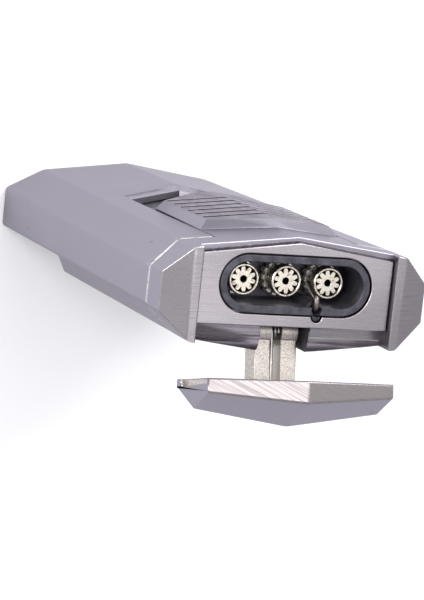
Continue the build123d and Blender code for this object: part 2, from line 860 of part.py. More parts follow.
with BuildPart() as hinge_lugs:
    with BuildSketch(Plane.XY.offset(slot_floor_z + fit)):
        Polygon(*full_section, align=None)
    extrude(amount=block_low + overlap - slot_floor_z)
    with Locations((0, back_ridge, seam_height)):
        Box(
            2 * (slot_half_width + lug_width),
            2 * (back_ridge - lug_front_y),
            4 * seam_height,
            mode=Mode.INTERSECT,
        )

with BuildPart() as spigot:
    with BuildSketch(Plane.XY.offset(seam_height - spigot_depth)):
        Polygon(*full_section, align=None)
        offset(amount=-spigot_inset, kind=Kind.INTERSECTION)
    extrude(amount=spigot_depth + seam_gap + overlap)
    with BuildSketch(Plane.XY.offset(seam_height - spigot_depth)):
        Polygon(*full_section, align=None)
        offset(amount=-spigot_inset - spigot_wall, kind=Kind.INTERSECTION)
    extrude(amount=spigot_depth + seam_gap, mode=Mode.SUBTRACT)

with BuildPart() as head_frame:
    with BuildSketch(Plane.XY.offset(block_low)):
        Polygon(*full_section, align=None)
    extrude(amount=ear_high - block_low)
    add(spigot.part)
    add(hinge_lugs.part)
    add(tongue_half)
    add(mirror(tongue_half, about=Plane.YZ, mode=Mode.PRIVATE))
    with BuildSketch(Plane.XY.offset(lip_z)):
        Rectangle(2 * ear_inner_x, 4 * back_ridge)
    extrude(amount=2 * ear_rise + lip_drop, mode=Mode.SUBTRACT)
    with BuildSketch(Plane.XY.offset(seat_z)):
        Polygon(*plate_outline, align=None)
        offset(amount=plate_clearance, kind=Kind.INTERSECTION)
    extrude(amount=2 * seat_drop, mode=Mode.SUBTRACT)
    with BuildSketch(Plane.YZ.offset(-ear_inner_x)):
        with BuildLine():
            Polyline(shoulder_end, shoulder_above_back, shoulder_above_front, shoulder_front, shoulder_turn)
            ThreePointArc(shoulder_turn, shoulder_middle, shoulder_end)
        make_face()
    extrude(amount=2 * ear_inner_x, mode=Mode.SUBTRACT)
    with BuildSketch(Plane.XZ.offset(-2 * back_ridge)):
        Polygon(*ear_cut, align=None)
        mirror(about=Plane.YZ)
    extrude(amount=4 * back_ridge, mode=Mode.SUBTRACT)
    with Locations((0, slot_front_y, 0)):
        Box(
            2 * slot_half_width,
            2 * back_ridge,
            4 * deck_height,
            align=(Align.CENTER, Align.MIN, Align.CENTER),
            mode=Mode.SUBTRACT,
        )
    with BuildSketch(Plane.XY):
        with Locations((0, well_centre_y)):
            SlotOverall(well_length - well_gap, well_width - well_gap)
        with Locations((bump_x, well_centre_y + well_width / 2)):
            Circle(bump_radius)
    extrude(amount=2 * deck_height, mode=Mode.SUBTRACT)
    with Locations((head_screw_x, head_screw_y, 0), (-head_screw_x, head_screw_y, 0)):
        Cylinder(head_screw_shank + fit, 4 * deck_height, mode=Mode.SUBTRACT)
    with Locations((head_screw_x, head_screw_y, seat_z), (-head_screw_x, head_screw_y, seat_z)):
        Cylinder(head_screw_head + fit, 2 * (head_screw_head_height + fit), mode=Mode.SUBTRACT)
    with BuildSketch(Plane.YZ.offset(-pin_half_length - fit)):
        with Locations((pin_y, pin_z)):
            Circle(pin_radius + push_fit)
    extrude(amount=2 * (pin_half_length + fit), mode=Mode.SUBTRACT)
save("head_frame", head_frame.part)

with BuildPart() as head_screws:
    with Locations((head_screw_x, head_screw_y, seat_z - fit), (-head_screw_x, head_screw_y, seat_z - fit)):
        Cylinder(head_screw_head, head_screw_head_height, align=down)
        Cylinder(head_screw_shank, seat_z - shelf_z + head_screw_bite, align=down)
save("head_screws", head_screws.part)

with BuildPart() as deck_plate:
    with BuildSketch(Plane.XY.offset(seat_z)):
        Polygon(*plate_outline, align=None)
        with Locations((0, well_centre_y)):
            SlotOverall(well_length, well_width, mode=Mode.SUBTRACT)
        with Locations((bump_x, well_centre_y + well_width / 2)):
            Circle(bump_radius, mode=Mode.SUBTRACT)
    extrude(amount=seat_drop)
save("deck_plate", deck_plate.part)

# ---------------------------------------------------------------- burner
well_high = deck_height - 0.1
well_low = well_high - well_depth
jet_xs = [(number - (jet_count - 1) / 2) * jet_pitch for number in range(jet_count)]
with BuildPart() as burner_well:
    with BuildSketch(Plane.XY.offset(well_low)):
        with Locations((0, well_centre_y)):
            SlotOverall(well_length - 2 * well_gap, well_width - 2 * well_gap)
        with Locations((bump_x, well_centre_y + well_width / 2)):
            Circle(bump_radius - well_gap)
    extrude(amount=well_depth)
    with BuildSketch(Plane.XY.offset(well_low + well_floor)):
        with Locations((0, well_centre_y)):
            SlotOverall(well_length - 2 * (well_gap + well_rim), well_width - 2 * (well_gap + well_rim))
        with Locations((electrode_x, electrode_y)):
            Circle(electrode_boss_radius, mode=Mode.SUBTRACT)
    extrude(amount=well_depth, mode=Mode.SUBTRACT)
    with Locations([(x, well_centre_y, well_low) for x in jet_xs]):
        Cylinder(jet_tube_radius + touch_gap, 4 * well_floor, mode=Mode.SUBTRACT)
    with Locations((electrode_x, electrode_y, well_low)):
        Cylinder(sleeve_radius + push_fit, 4 * well_depth, mode=Mode.SUBTRACT)
    with Locations((electrode_x, electrode_y, well_high)):
        Cylinder(electrode_boss_radius, 2 * boss_drop, mode=Mode.SUBTRACT)
save("burner_well", burner_well.part)

jet_face = deck_height - jet_face_drop
jet_low = manifold_high
for number, x in enumerate(jet_xs, start=1):
    with BuildPart() as jet:
        with Locations((x, well_centre_y, jet_low)):
            Cylinder(jet_tube_radius, jet_face - jet_low, align=up)
        with Locations((x, well_centre_y, jet_face)):
            Cylinder(jet_head_radius, jet_head_height, align=down)
            Cylinder(jet_bore_radius, 4 * jet_face_drop, mode=Mode.SUBTRACT)
            Cylinder(jet_head_radius - jet_wall, 2 * (jet_recess + star_thickness), mode=Mode.SUBTRACT)
    save(f"jet_{number}", jet.part)

    with BuildPart() as star:
        with BuildSketch(Plane.XY.offset(jet_face - jet_recess - star_thickness)):
            with Locations((x, well_centre_y)):
                Circle(star_core_radius)
                with PolarLocations(petal_middle_radius, star_lobes):
                    Ellipse(petal_half_length, petal_half_width)
                Circle(star_hole_radius, mode=Mode.SUBTRACT)
        extrude(amount=star_thickness)
    save(f"jet_star_{number}", star.part)

    with BuildPart() as collar:
        with Locations((x, well_centre_y, jet_face - jet_head_height - collar_drop)):
            Cylinder(collar_radius, collar_height, align=down)
            Cylinder(jet_tube_radius + touch_gap, 4 * collar_height, mode=Mode.SUBTRACT)
            with PolarLocations(collar_radius, collar_notches):
                Box(collar_notch, collar_notch, 3 * collar_height, mode=Mode.SUBTRACT)
    save(f"jet_collar_{number}", collar.part)

with BuildPart() as gas_manifold:
    with Locations((0, well_centre_y, manifold_high)):
        Box(2 * manifold_half_width, manifold_depth, manifold_height, align=down)
    with Locations([(x, well_centre_y, manifold_high) for x in jet_xs]):
        Cylinder(jet_bore_radius, 2 * (manifold_height - manifold_floor), mode=Mode.SUBTRACT)
    with BuildSketch(Plane.YZ.offset(-manifold_half_width)):
        with Locations((well_centre_y, manifold_high - manifold_height / 2)):
            Circle(gas_bore_radius)
    extrude(amount=2 * manifold_half_width - manifold_end, mode=Mode.SUBTRACT)
save("gas_manifold", gas_manifold.part)

tube_points = [
    (adjuster_x - valve_radius - touch_gap, valve_y, valve_outlet_z),
    (gas_tube_x, valve_y, valve_outlet_z),
    (gas_tube_x, well_centre_y, manifold_high - manifold_height / 2),
    (-manifold_half_width - push_fit, well_centre_y, manifold_high - manifold_height / 2),
]
with BuildPart() as gas_tube:
    with BuildLine() as tube_path:
        FilletPolyline(*tube_points, radius=gas_tube_bend)
    with BuildSketch(Plane(origin=tube_path.line @ 0, z_dir=tube_path.line % 0)):
        Circle(gas_tube_radius)
    sweep()
save("gas_tube", gas_tube.part)

electrode_points = [
    (electrode_x, electrode_y, lead_z - electrode_foot),
    (electrode_x, electrode_y, deck_height - electrode_top_drop),
    (electrode_x, electrode_y - electrode_reach, deck_height - electrode_top_drop),
    (electrode_x + electrode_lean, well_centre_y, jet_face + fit),
]
with BuildPart() as electrode:
    with BuildLine() as wire_path:
        FilletPolyline(*electrode_points, radius=electrode_bend)
    with BuildSketch(Plane(origin=wire_path.line @ 0, z_dir=wire_path.line % 0)):
        Circle(electrode_radius)
    sweep()
save("electrode", electrode.part)

sleeve_low = lead_z + lead_radius + lead_end_gap
with BuildPart() as electrode_sleeve:
    with Locations((electrode_x, electrode_y, sleeve_low)):
        Cylinder(sleeve_radius, deck_height - sleeve_top_drop - sleeve_low, align=up)
        Cylinder(electrode_radius + push_fit, 4 * well_depth, mode=Mode.SUBTRACT)
save("electrode_sleeve", electrode_sleeve.part)

# ---------------------------------------------------------------- lid, drawn closed and laid open
# Local x is across, local y is the closed lid's y and local z its height, both from the pin.
swing = math.radians(open_angle)
lid_frame = Plane(origin=(0, pin_y, pin_z), x_dir=(1, 0, 0), z_dir=(0, math.sin(swing), math.cos(swing)))
lid_low = deck_height + lid_gap


def lid_point(x, y, height):
    """Where a point of the closed lid, given above its underside, lies when it is open."""
    return lid_frame.from_local_coords(Vector(x, y - pin_y, lid_low + height - pin_z))


def roof_plane(side, middle_low, end_low, middle_high):
    """A plane through two points at the lid's middle and one at its end, facing out."""
    first = lid_point(*middle_low)
    across = lid_point(side * end_low[0], end_low[1], end_low[2]) - first
    along = lid_point(*middle_high) - first
    normal = across.cross(along) * side
    if normal.dot(lid_frame.z_dir) < 0:
        normal = normal * -1
    return Plane(origin=first, x_dir=across, z_dir=normal)


lid_plan = [
    (0, -lid_front_peak - pin_y),
    (lid_half_width, -lid_front_end - pin_y),
    (lid_half_width, lid_back_end - pin_y),
    (0, lid_back_ridge - pin_y),
    (-lid_half_width, lid_back_end - pin_y),
    (-lid_half_width, -lid_front_end - pin_y),
]
crest = (0, lid_crest_y, lid_crest_height)
front_rise = (lid_crest_height - lid_front_height) / (lid_front_peak + lid_crest_y)
end_fall = (
    lid_front_end_height - lid_front_height - front_rise * (lid_front_peak - lid_front_end)
) / lid_half_width
crest_end = (lid_half_width, lid_crest_y, lid_crest_height + end_fall * lid_half_width)
with BuildPart() as lid:
    with BuildSketch(lid_frame.offset(lid_low - pin_z)):
        Polygon(*lid_plan, align=None)
    extrude(amount=lid_crest_height + beyond)
    for side in (-1, 1):
        front_low = (0, -lid_front_peak, lid_front_height)
        front_end = (lid_half_width, -lid_front_end, lid_front_end_height)
        split(bisect_by=roof_plane(side, front_low, front_end, crest), keep=Keep.BOTTOM)
        back_low = (0, lid_back_ridge, lid_back_height)
        split(bisect_by=roof_plane(side, crest, crest_end, back_low), keep=Keep.BOTTOM)
    with BuildSketch(lid_frame.offset(lid_low - pin_z)):
        with Locations((0, well_centre_y - pin_y)):
            SlotOverall(well_length, well_width)
    extrude(amount=lid_dish_depth, mode=Mode.SUBTRACT)
    with BuildSketch(lid_frame.offset(lid_low - pin_z)):
        with Locations((0, (arm_low_y + arm_high_y) / 2 - pin_y)):
            Rectangle(2 * (foot_half_width + touch_gap), arm_high_y - arm_low_y + 2 * touch_gap)
    extrude(amount=foot_thickness + touch_gap, mode=Mode.SUBTRACT)
    with BuildSketch(lid_frame.offset(lid_low - pin_z)):
        with Locations((rivet_x, rivet_y), (-rivet_x, rivet_y)):
            Circle(rivet_radius + push_fit)
    extrude(amount=foot_thickness + rivet_grip, mode=Mode.SUBTRACT)
    for side in (-1, 1):
        notch_plane = Plane(origin=lid_frame.origin, x_dir=lid_frame.y_dir, z_dir=lid_frame.x_dir)
        with BuildSketch(notch_plane.offset(side * (lid_half_width - notch_depth))):
            Polygon(
                (notch_front_y - pin_y, lid_low - pin_z - beyond),
                (notch_front_y - pin_y, lid_low - pin_z + notch_front_height),
                (notch_back_y - pin_y, lid_low - pin_z + notch_back_height),
                (notch_back_y - pin_y, lid_low - pin_z - beyond),
                align=None,
            )
        extrude(amount=side * 2 * notch_depth, mode=Mode.SUBTRACT)
save("lid", lid.part)

with BuildPart() as lid_arm:
    arm_plane = Plane(origin=lid_frame.origin, x_dir=lid_frame.y_dir, z_dir=lid_frame.x_dir)
    for start in (arm_inner_x, -arm_outer_x):
        with BuildSketch(arm_plane.offset(start)):
            Circle(hub_radius)
            with Locations(((arm_low_y + arm_high_y) / 2 - pin_y, (lid_low - pin_z) / 2)):
                Rectangle(arm_high_y - arm_low_y, lid_low - pin_z)
        extrude(amount=arm_outer_x - arm_inner_x)
    with BuildSketch(lid_frame.offset(lid_low - pin_z)):
        with Locations((0, (arm_low_y + arm_high_y) / 2 - pin_y)):
            Rectangle(2 * foot_half_width, arm_high_y - arm_low_y)
    extrude(amount=foot_thickness)
    with BuildSketch(lid_frame.offset(lid_low - pin_z - beyond)):
        with Locations((rivet_x, rivet_y), (-rivet_x, rivet_y)):
            Circle(rivet_radius + push_fit)
    extrude(amount=foot_thickness + 2 * beyond, mode=Mode.SUBTRACT)
    with BuildSketch(arm_plane.offset(-half_width)):
        Circle(pin_radius + touch_gap)
    extrude(amount=2 * half_width, mode=Mode.SUBTRACT)
save("lid_arm", lid_arm.part)

with BuildPart() as lid_rivets:
    with BuildSketch(lid_frame.offset(lid_low - pin_z + fit)):
        with Locations((rivet_x, rivet_y), (-rivet_x, rivet_y)):
            Circle(rivet_radius)
    extrude(amount=foot_thickness + rivet_grip - fit - touch_gap)
save("lid_rivets", lid_rivets.part)

with BuildPart() as hinge_pin:
    with BuildSketch(Plane.YZ.offset(-pin_half_length)):
        with Locations((pin_y, pin_z)):
            Circle(pin_radius)
    extrude(amount=2 * pin_half_length)
save("hinge_pin", hinge_pin.part)

with BuildPart() as lid_spring:
    with BuildLine() as spring_line:
        Helix(
            pitch=spring_pitch,
            height=2 * spring_pitch,
            radius=lid_spring_radius,
            center=(-spring_pitch, pin_y, pin_z),
            direction=(1, 0, 0),
        )
    with BuildSketch(Plane(origin=spring_line.line @ 0, z_dir=spring_line.line % 0)):
        Circle(spring_wire)
    sweep(is_frenet=True)
    leg_low = pin_z - lid_spring_radius
    with BuildSketch(Plane.XZ.offset(-slot_front_y - touch_gap)):
        with Locations((-spring_pitch, leg_low)):
            Circle(spring_wire)
    extrude(amount=slot_front_y - pin_y)
    with BuildSketch(lid_frame.offset(0)):
        with Locations((spring_pitch, -lid_spring_radius)):
            Circle(spring_wire)
    extrude(amount=lid_low - pin_z - fit)
save("lid_spring", lid_spring.part)
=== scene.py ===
import math

import bmesh
import bpy
from mathutils import Matrix, Vector


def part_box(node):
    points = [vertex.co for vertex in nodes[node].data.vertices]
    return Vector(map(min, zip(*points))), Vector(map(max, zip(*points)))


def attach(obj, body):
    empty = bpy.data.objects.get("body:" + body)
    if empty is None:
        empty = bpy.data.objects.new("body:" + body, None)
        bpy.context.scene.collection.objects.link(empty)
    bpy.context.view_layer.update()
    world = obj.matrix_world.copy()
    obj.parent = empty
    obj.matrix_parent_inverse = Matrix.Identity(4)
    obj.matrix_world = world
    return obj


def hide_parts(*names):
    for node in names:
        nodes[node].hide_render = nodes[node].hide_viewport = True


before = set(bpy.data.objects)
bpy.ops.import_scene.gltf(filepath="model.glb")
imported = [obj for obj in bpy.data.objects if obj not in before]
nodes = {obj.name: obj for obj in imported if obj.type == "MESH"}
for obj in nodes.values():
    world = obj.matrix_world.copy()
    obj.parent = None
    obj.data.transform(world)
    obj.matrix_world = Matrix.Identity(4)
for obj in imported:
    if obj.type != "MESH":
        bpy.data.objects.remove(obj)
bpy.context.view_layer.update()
scene = bpy.context.scene
mm = 0.001
flatAngle = 0.03  # degrees, faces of a CAD copy that bend by less are one
touching = 0.01 * mm  # places nearer than this are the same
finest = 0.001 * mm  # mesh corners nearer than this are merged
past = 1  # mm that a cutter reaches past what it cuts
anyLength = 0.01  # mm, leaves out only edges too short to round
print("frame loaded:", len(nodes), "nodes")


def linear(code):  # sRGB hex to linear colour
    parts = [int(code[i:i + 2], 16) / 255 for i in (0, 2, 4)]
    return tuple(p / 12.92 if p <= 0.04045 else ((p + 0.055) / 1.055) ** 2.4 for p in parts) + (1.0,)


def addNode(tree, kind, inputs=None, **settings):
    node = tree.nodes.new(kind)
    for name, value in settings.items():
        setattr(node, name, value)
    for name, value in (inputs or {}).items():
        if isinstance(value, bpy.types.NodeSocket):
            tree.links.new(value, node.inputs[name])
        else:
            node.inputs[name].default_value = value
    return node


def startMaterial(name):
    material = bpy.data.materials.new(name)
    material.use_nodes = True
    tree = material.node_tree
    tree.nodes.clear()
    shader = addNode(tree, "ShaderNodeBsdfPrincipled")
    output = addNode(tree, "ShaderNodeOutputMaterial")
    tree.links.new(shader.outputs["BSDF"], output.inputs["Surface"])
    place = addNode(tree, "ShaderNodeTexCoord").outputs["Object"]
    return material, tree, shader, place


def joinFlatFaces(bm, degrees):  # neighbouring faces that bend by less than this become one
    bmesh.ops.dissolve_limit(
        bm, angle_limit=math.radians(degrees), verts=bm.verts, edges=bm.edges, delimit=set())


def cadCopy(node):  # a working copy of a CAD node, as one closed mesh of flat faces
    bm = bmesh.new()
    bm.from_mesh(nodes[node].data)
    bmesh.ops.remove_doubles(bm, verts=bm.verts, dist=0.002 * mm)
    joinFlatFaces(bm, flatAngle)
    bm.normal_update()
    return bm


def convexEdges(bm, degrees, longerThan):
    found = []
    for edge in bm.edges:
        if len(edge.link_faces) == 2 and edge.calc_length() > longerThan * mm:
            if edge.calc_face_angle_signed(0) > math.radians(degrees):
                found.append(edge)
    return found


def soften(bm, edges, width, segments=3):
    return bmesh.ops.bevel(
        bm, geom=edges, offset=width * mm, offset_type="OFFSET", segments=segments, profile=0.5,
        affect="EDGES", material=-1, clamp_overlap=False, loop_slide=True)


def keepFacesFlat(piece):  # large faces shade flat beside their rounded edges
    modifier = piece.modifiers.new("flatFaces", "WEIGHTED_NORMAL")
    modifier.keep_sharp = True
    modifier.weight = 80


def makePiece(name, bm, materials, body, replaced, smooth=32, weighted=True):
    mesh = bpy.data.meshes.new(name)
    bm.normal_update()
    bm.to_mesh(mesh)
    bm.free()
    mesh.shade_smooth()
    mesh.set_sharp_from_angle(angle=math.radians(smooth))
    piece = bpy.data.objects.new(name, mesh)
    scene.collection.objects.link(piece)
    for material in materials:
        mesh.materials.append(material)
    if weighted:
        keepFacesFlat(piece)
    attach(piece, body)
    if replaced:
        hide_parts(*replaced)
    return piece


def combine(base, other, how):  # union or difference of two bmeshes, as a new bmesh
    holders = []
    for number, bm in enumerate((base, other)):
        bmesh.ops.scale(bm, vec=(1 / mm, 1 / mm, 1 / mm), verts=bm.verts)
        bmesh.ops.recalc_face_normals(bm, faces=bm.faces)
        mesh = bpy.data.meshes.new("shapeToCombine%d" % number)
        bm.to_mesh(mesh)
        bm.free()
        holder = bpy.data.objects.new(mesh.name, mesh)
        scene.collection.objects.link(holder)
        holders.append(holder)
    modifier = holders[0].modifiers.new("combine", "BOOLEAN")
    modifier.object = holders[1]
    modifier.operation = how
    modifier.solver = "EXACT"
    graph = bpy.context.evaluated_depsgraph_get()
    result = bmesh.new()
    result.from_mesh(holders[0].evaluated_get(graph).to_mesh())
    for holder in holders:
        mesh = holder.data
        bpy.data.objects.remove(holder)
        bpy.data.meshes.remove(mesh)
    bmesh.ops.remove_doubles(result, verts=result.verts, dist=0.001)  # still at mm scale
    bmesh.ops.scale(result, vec=(mm, mm, mm), verts=result.verts)
    result.normal_update()
    return result


def prism(points, low, high):  # upright block on an outline, sizes in mm
    bm = bmesh.new()
    face = bm.faces.new([bm.verts.new((x * mm, y * mm, low * mm)) for x, y in points])
    raised = bmesh.ops.extrude_face_region(bm, geom=[face])
    upper = [v for v in raised["geom"] if isinstance(v, bmesh.types.BMVert)]
    bmesh.ops.translate(bm, vec=(0, 0, (high - low) * mm), verts=upper)
    bmesh.ops.recalc_face_normals(bm, faces=bm.faces)
    return bm


def peg(x, y, radius, low, high, segments=64):  # upright round block, sizes in mm
    bm = bmesh.new()
    bmesh.ops.create_cone(
        bm, cap_ends=True, segments=segments, radius1=radius * mm, radius2=radius * mm,
        depth=(high - low) * mm, matrix=Matrix.Translation((x * mm, y * mm, (low + high) / 2 * mm)))
    return bm


def block(low, high):  # square block between two corners, sizes in mm
    bm = bmesh.new()
    size = [(b - a) * mm for a, b in zip(low, high)]
    middle = [(a + b) / 2 * mm for a, b in zip(low, high)]
    bmesh.ops.create_cube(bm, size=1, matrix=Matrix.Translation(middle) @ Matrix.Diagonal((*size, 1)))
    return bm


def stadium(length, width, y, low, high, segments=96):  # upright block with two round ends
    bm = peg(0, y, width / 2, low, high, segments)
    halfStep = Matrix.Rotation(math.pi / segments, 3, "Z")  # so that no corner lies at x = 0
    bmesh.ops.rotate(bm, verts=bm.verts, cent=(0, y * mm, 0), matrix=halfStep)
    for vert in bm.verts:
        vert.co.x += math.copysign((length - width) / 2 * mm, vert.co.x)
    return bm


def turned(x, y, profile, steps=64):  # spins a closed profile of (radius, height) about an upright axis
    bm = bmesh.new()
    ring = [bm.verts.new((x * mm + r * mm, y * mm, z * mm)) for r, z in profile]
    edges = [bm.edges.new((ring[i], ring[(i + 1) % len(ring)])) for i in range(len(ring))]
    bmesh.ops.spin(
        bm, geom=ring + edges, cent=(x * mm, y * mm, 0), axis=(0, 0, 1),
        angle=math.tau, steps=steps, use_merge=True)
    bmesh.ops.remove_doubles(bm, verts=bm.verts, dist=0.0005 * mm)
    bmesh.ops.recalc_face_normals(bm, faces=bm.faces)
    return bm


def topEdges(bm, height, degrees=40):  # convex edges that lie at one height, in mm
    return [
        e for e in bm.edges
        if all(abs(v.co.z - height * mm) < touching for v in e.verts)
        and len(e.link_faces) == 2 and e.calc_face_angle_signed(0) > math.radians(degrees)]


def noise(tree, place, grainMm, **settings):  # noise whose grain is this many mm wide
    return addNode(tree, "ShaderNodeTexNoise", {"Vector": place, "Scale": 1 / grainMm / mm, **settings})


def mixColours(tree, factor, first, second):
    mix = addNode(tree, "ShaderNodeMix", {"Factor": factor, "A": first, "B": second}, data_type="RGBA")
    return mix.outputs["Result"]


def rampColours(tree, shader, pattern, lowAt, lowColour, highAt, highColour):
    ramp = addNode(tree, "ShaderNodeValToRGB", {"Fac": pattern.outputs["Fac"]})
    for element, at, colour in zip(ramp.color_ramp.elements, (lowAt, highAt), (lowColour, highColour)):
        element.position = at
        element.color = linear(colour)
    tree.links.new(ramp.outputs["Color"], shader.inputs["Base Color"])


def varyRoughness(tree, shader, pattern, middle, atLow, atHigh, low=0.3, high=0.7):
    rough = addNode(tree, "ShaderNodeMapRange", {
        "Value": pattern.outputs["Fac"], "From Min": low, "From Max": high,
        "To Min": middle + atLow, "To Max": middle + atHigh})
    tree.links.new(rough.outputs["Result"], shader.inputs["Roughness"])


def roughen(tree, shader, pattern, strength, depthMm):
    bumps = addNode(tree, "ShaderNodeBump", {
        "Height": pattern.outputs["Fac"], "Strength": strength, "Distance": depthMm * mm})
    tree.links.new(bumps.outputs["Normal"], shader.inputs["Normal"])


# Zinc die casting, plated gunmetal and satin finished: a cool grey that gathers soft, wide highlights,
# with faint hairlines across the body and a few specks in the plating.
gunmetalLook = {
    "colour": "99959E", "shade": "918D97", "speckColour": "4B4750", "edgeTint": "CFCDD2",
    "roughness": 0.34, "roughnessSpread": 0.025,
    "hairPitchMm": 0.16, "hairLengthMm": 14, "grainMm": 0.09, "cloudMm": 9,
    "speckSpacingMm": 5.5, "speckSizeMm": 0.3, "speckStrength": 0.55,
}


def makeGunmetal(name, look):
    material, tree, shader, place = startMaterial(name)
    long, fine = 1 / look["hairLengthMm"] / mm, 1 / look["hairPitchMm"] / mm
    speckShare = look["speckSizeMm"] / look["speckSpacingMm"]
    hairs = addNode(tree, "ShaderNodeMapping", {"Vector": place, "Scale": (long, long, fine)})
    hairNoise = addNode(tree, "ShaderNodeTexNoise", {"Vector": hairs.outputs[0], "Scale": 1.0, "Detail": 2.0})
    grain = noise(tree, place, look["grainMm"], Detail=2.0)
    cloud = noise(tree, place, look["cloudMm"], Detail=3.0)
    cells = addNode(tree, "ShaderNodeTexVoronoi", {"Vector": place, "Scale": 1 / look["speckSpacingMm"] / mm})
    speck = addNode(tree, "ShaderNodeMapRange", {
        "Value": cells.outputs["Distance"], "From Min": speckShare * 0.5, "From Max": speckShare,
        "To Min": look["speckStrength"], "To Max": 0.0})
    tone = mixColours(tree, hairNoise.outputs["Fac"], linear(look["shade"]), linear(look["colour"]))
    cloudy = mixColours(tree, cloud.outputs["Fac"], tone, linear(look["colour"]))
    specked = mixColours(tree, speck.outputs["Result"], cloudy, linear(look["speckColour"]))
    tree.links.new(specked, shader.inputs["Base Color"])
    spread = look["roughnessSpread"]
    varyRoughness(tree, shader, hairNoise, look["roughness"], -spread, spread)
    roughen(tree, shader, grain, 0.10, 0.02)
    shader.inputs["Metallic"].default_value = 1.0
    shader.inputs["Specular Tint"].default_value = linear(look["edgeTint"])  # stays grey at a low angle
    return material


# The same plated zinc, drawn across an abrasive belt: clear parallel hairlines that catch the light.
brushedLook = {
    "colour": "ABA5AA", "shade": "938C92", "roughness": 0.30, "roughnessSpread": 0.10,
    "hairPitchMm": 0.13, "hairLengthMm": 9, "hairDepthMm": 0.009, "hairStrength": 0.35, "edgeTint": "EFEFEF",
    "shadeAt": 0.32, "colourAt": 0.62,
}


def makeBrushed(name, look, turn=(0, 0, 0), across="y"):  # across is the axis that the lines change along
    material, tree, shader, place = startMaterial(name)
    long, fine = 1 / look["hairLengthMm"] / mm, 1 / look["hairPitchMm"] / mm
    turnedPlace = addNode(tree, "ShaderNodeMapping", {"Vector": place, "Rotation": turn})
    scaled = addNode(tree, "ShaderNodeMapping", {
        "Vector": turnedPlace.outputs[0],
        "Scale": tuple(fine if axis == across else long for axis in "xyz")})
    hairNoise = addNode(tree, "ShaderNodeTexNoise", {
        "Vector": scaled.outputs[0], "Scale": 1.0, "Detail": 3.0, "Roughness": 0.65})
    rampColours(tree, shader, hairNoise, look["shadeAt"], look["shade"], look["colourAt"], look["colour"])
    spread = look["roughnessSpread"]
    varyRoughness(tree, shader, hairNoise, look["roughness"], spread, -spread)
    roughen(tree, shader, hairNoise, look["hairStrength"], look["hairDepthMm"])
    shader.inputs["Metallic"].default_value = 1.0
    shader.inputs["Anisotropic"].default_value = 0.4
    shader.inputs["Specular Tint"].default_value = linear(look["edgeTint"])
    return material


# Zinc or steel blackened by an oxide bath: blue-charcoal, slightly powdery, lighter where it is rubbed.
blackOxideLook = {
    "colour": "3C3B42", "colourAt": 0.35, "rubbed": "5D5B65", "rubbedAt": 0.75, "roughness": 0.42,
    "cloudMm": 1.6, "grainMm": 0.12,
}


def makeBlackOxide(name, look):
    material, tree, shader, place = startMaterial(name)
    cloud = noise(tree, place, look["cloudMm"], Detail=5.0)
    grain = noise(tree, place, look["grainMm"], Detail=2.0)
    rampColours(tree, shader, cloud, look["colourAt"], look["colour"], look["rubbedAt"], look["rubbed"])
    varyRoughness(tree, shader, grain, look["roughness"], -0.08, 0.1, 0, 1)
    roughen(tree, shader, grain, 0.2, 0.02)
    shader.inputs["Metallic"].default_value = 0.65
    return material


# Machined brass under bright nickel: warm white metal, tarnished brown in its corners by the flame.
nickelLook = {
    "colour": "F3EBDD", "tarnish": "A08D74", "roughness": 0.22, "cloudMm": 0.7, "tarnishFrom": 0.60}
wornNickelLook = {
    "colour": "FBF6EE", "tarnish": "A89A86", "roughness": 0.42, "cloudMm": 0.5, "tarnishFrom": 0.62}


def makeNickel(name, look):
    material, tree, shader, place = startMaterial(name)
    cloud = noise(tree, place, look["cloudMm"], Detail=5.0, Roughness=0.6)
    rampColours(
        tree, shader, cloud,
        look["tarnishFrom"] - 0.06, look["colour"], look["tarnishFrom"] + 0.10, look["tarnish"])
    varyRoughness(tree, shader, cloud, look["roughness"], -0.06, 0.16)
    shader.inputs["Metallic"].default_value = 1.0
    return material


# Cast zinc under dull nickel: a granular skin that glitters in small warm and dark points.
castLook = {
    "colour": "CBC4BD", "colourAt": 0.56, "hollow": "8A827A", "hollowAt": 0.36, "roughness": 0.36,
    "grainMm": 0.15, "depthMm": 0.03, "grainStrength": 0.8,
}


def makeCast(name, look):
    material, tree, shader, place = startMaterial(name)
    grain = noise(tree, place, look["grainMm"], Detail=4.0, Roughness=0.7)
    rampColours(tree, shader, grain, look["hollowAt"], look["hollow"], look["colourAt"], look["colour"])
    varyRoughness(tree, shader, grain, look["roughness"], 0.18, -0.08)
    roughen(tree, shader, grain, look["grainStrength"], look["depthMm"])
    shader.inputs["Metallic"].default_value = 1.0
    return material


# Plain metals turned on a lathe or drawn as wire: faint rings or lines, a little colour drift.
brassLook = {"colour": "D9B36A", "shade": "B48A45", "roughness": 0.26, "ringMm": 0.18}
steelLook = {"colour": "B9B6B2", "shade": "8C8781", "roughness": 0.30, "ringMm": 0.2}
heatedSteelLook = {"colour": "8F8886", "shade": "57514F", "roughness": 0.32, "ringMm": 0.6}
leverSteelLook = {"colour": "A9A8A6", "shade": "86847F", "roughness": 0.38, "ringMm": 0.5}


def makeTurnedMetal(name, look):
    material, tree, shader, place = startMaterial(name)
    wide = 1 / 3 / mm
    rings = addNode(tree, "ShaderNodeMapping", {
        "Vector": place, "Scale": (wide, wide, 1 / look["ringMm"] / mm)})
    ringNoise = addNode(tree, "ShaderNodeTexNoise", {"Vector": rings.outputs[0], "Scale": 1.0, "Detail": 3.0})
    tone = mixColours(tree, ringNoise.outputs["Fac"], linear(look["shade"]), linear(look["colour"]))
    tree.links.new(tone, shader.inputs["Base Color"])
    varyRoughness(tree, shader, ringNoise, look["roughness"], 0.08, -0.06)
    roughen(tree, shader, ringNoise, 0.2, 0.01)
    shader.inputs["Metallic"].default_value = 1.0
    return material


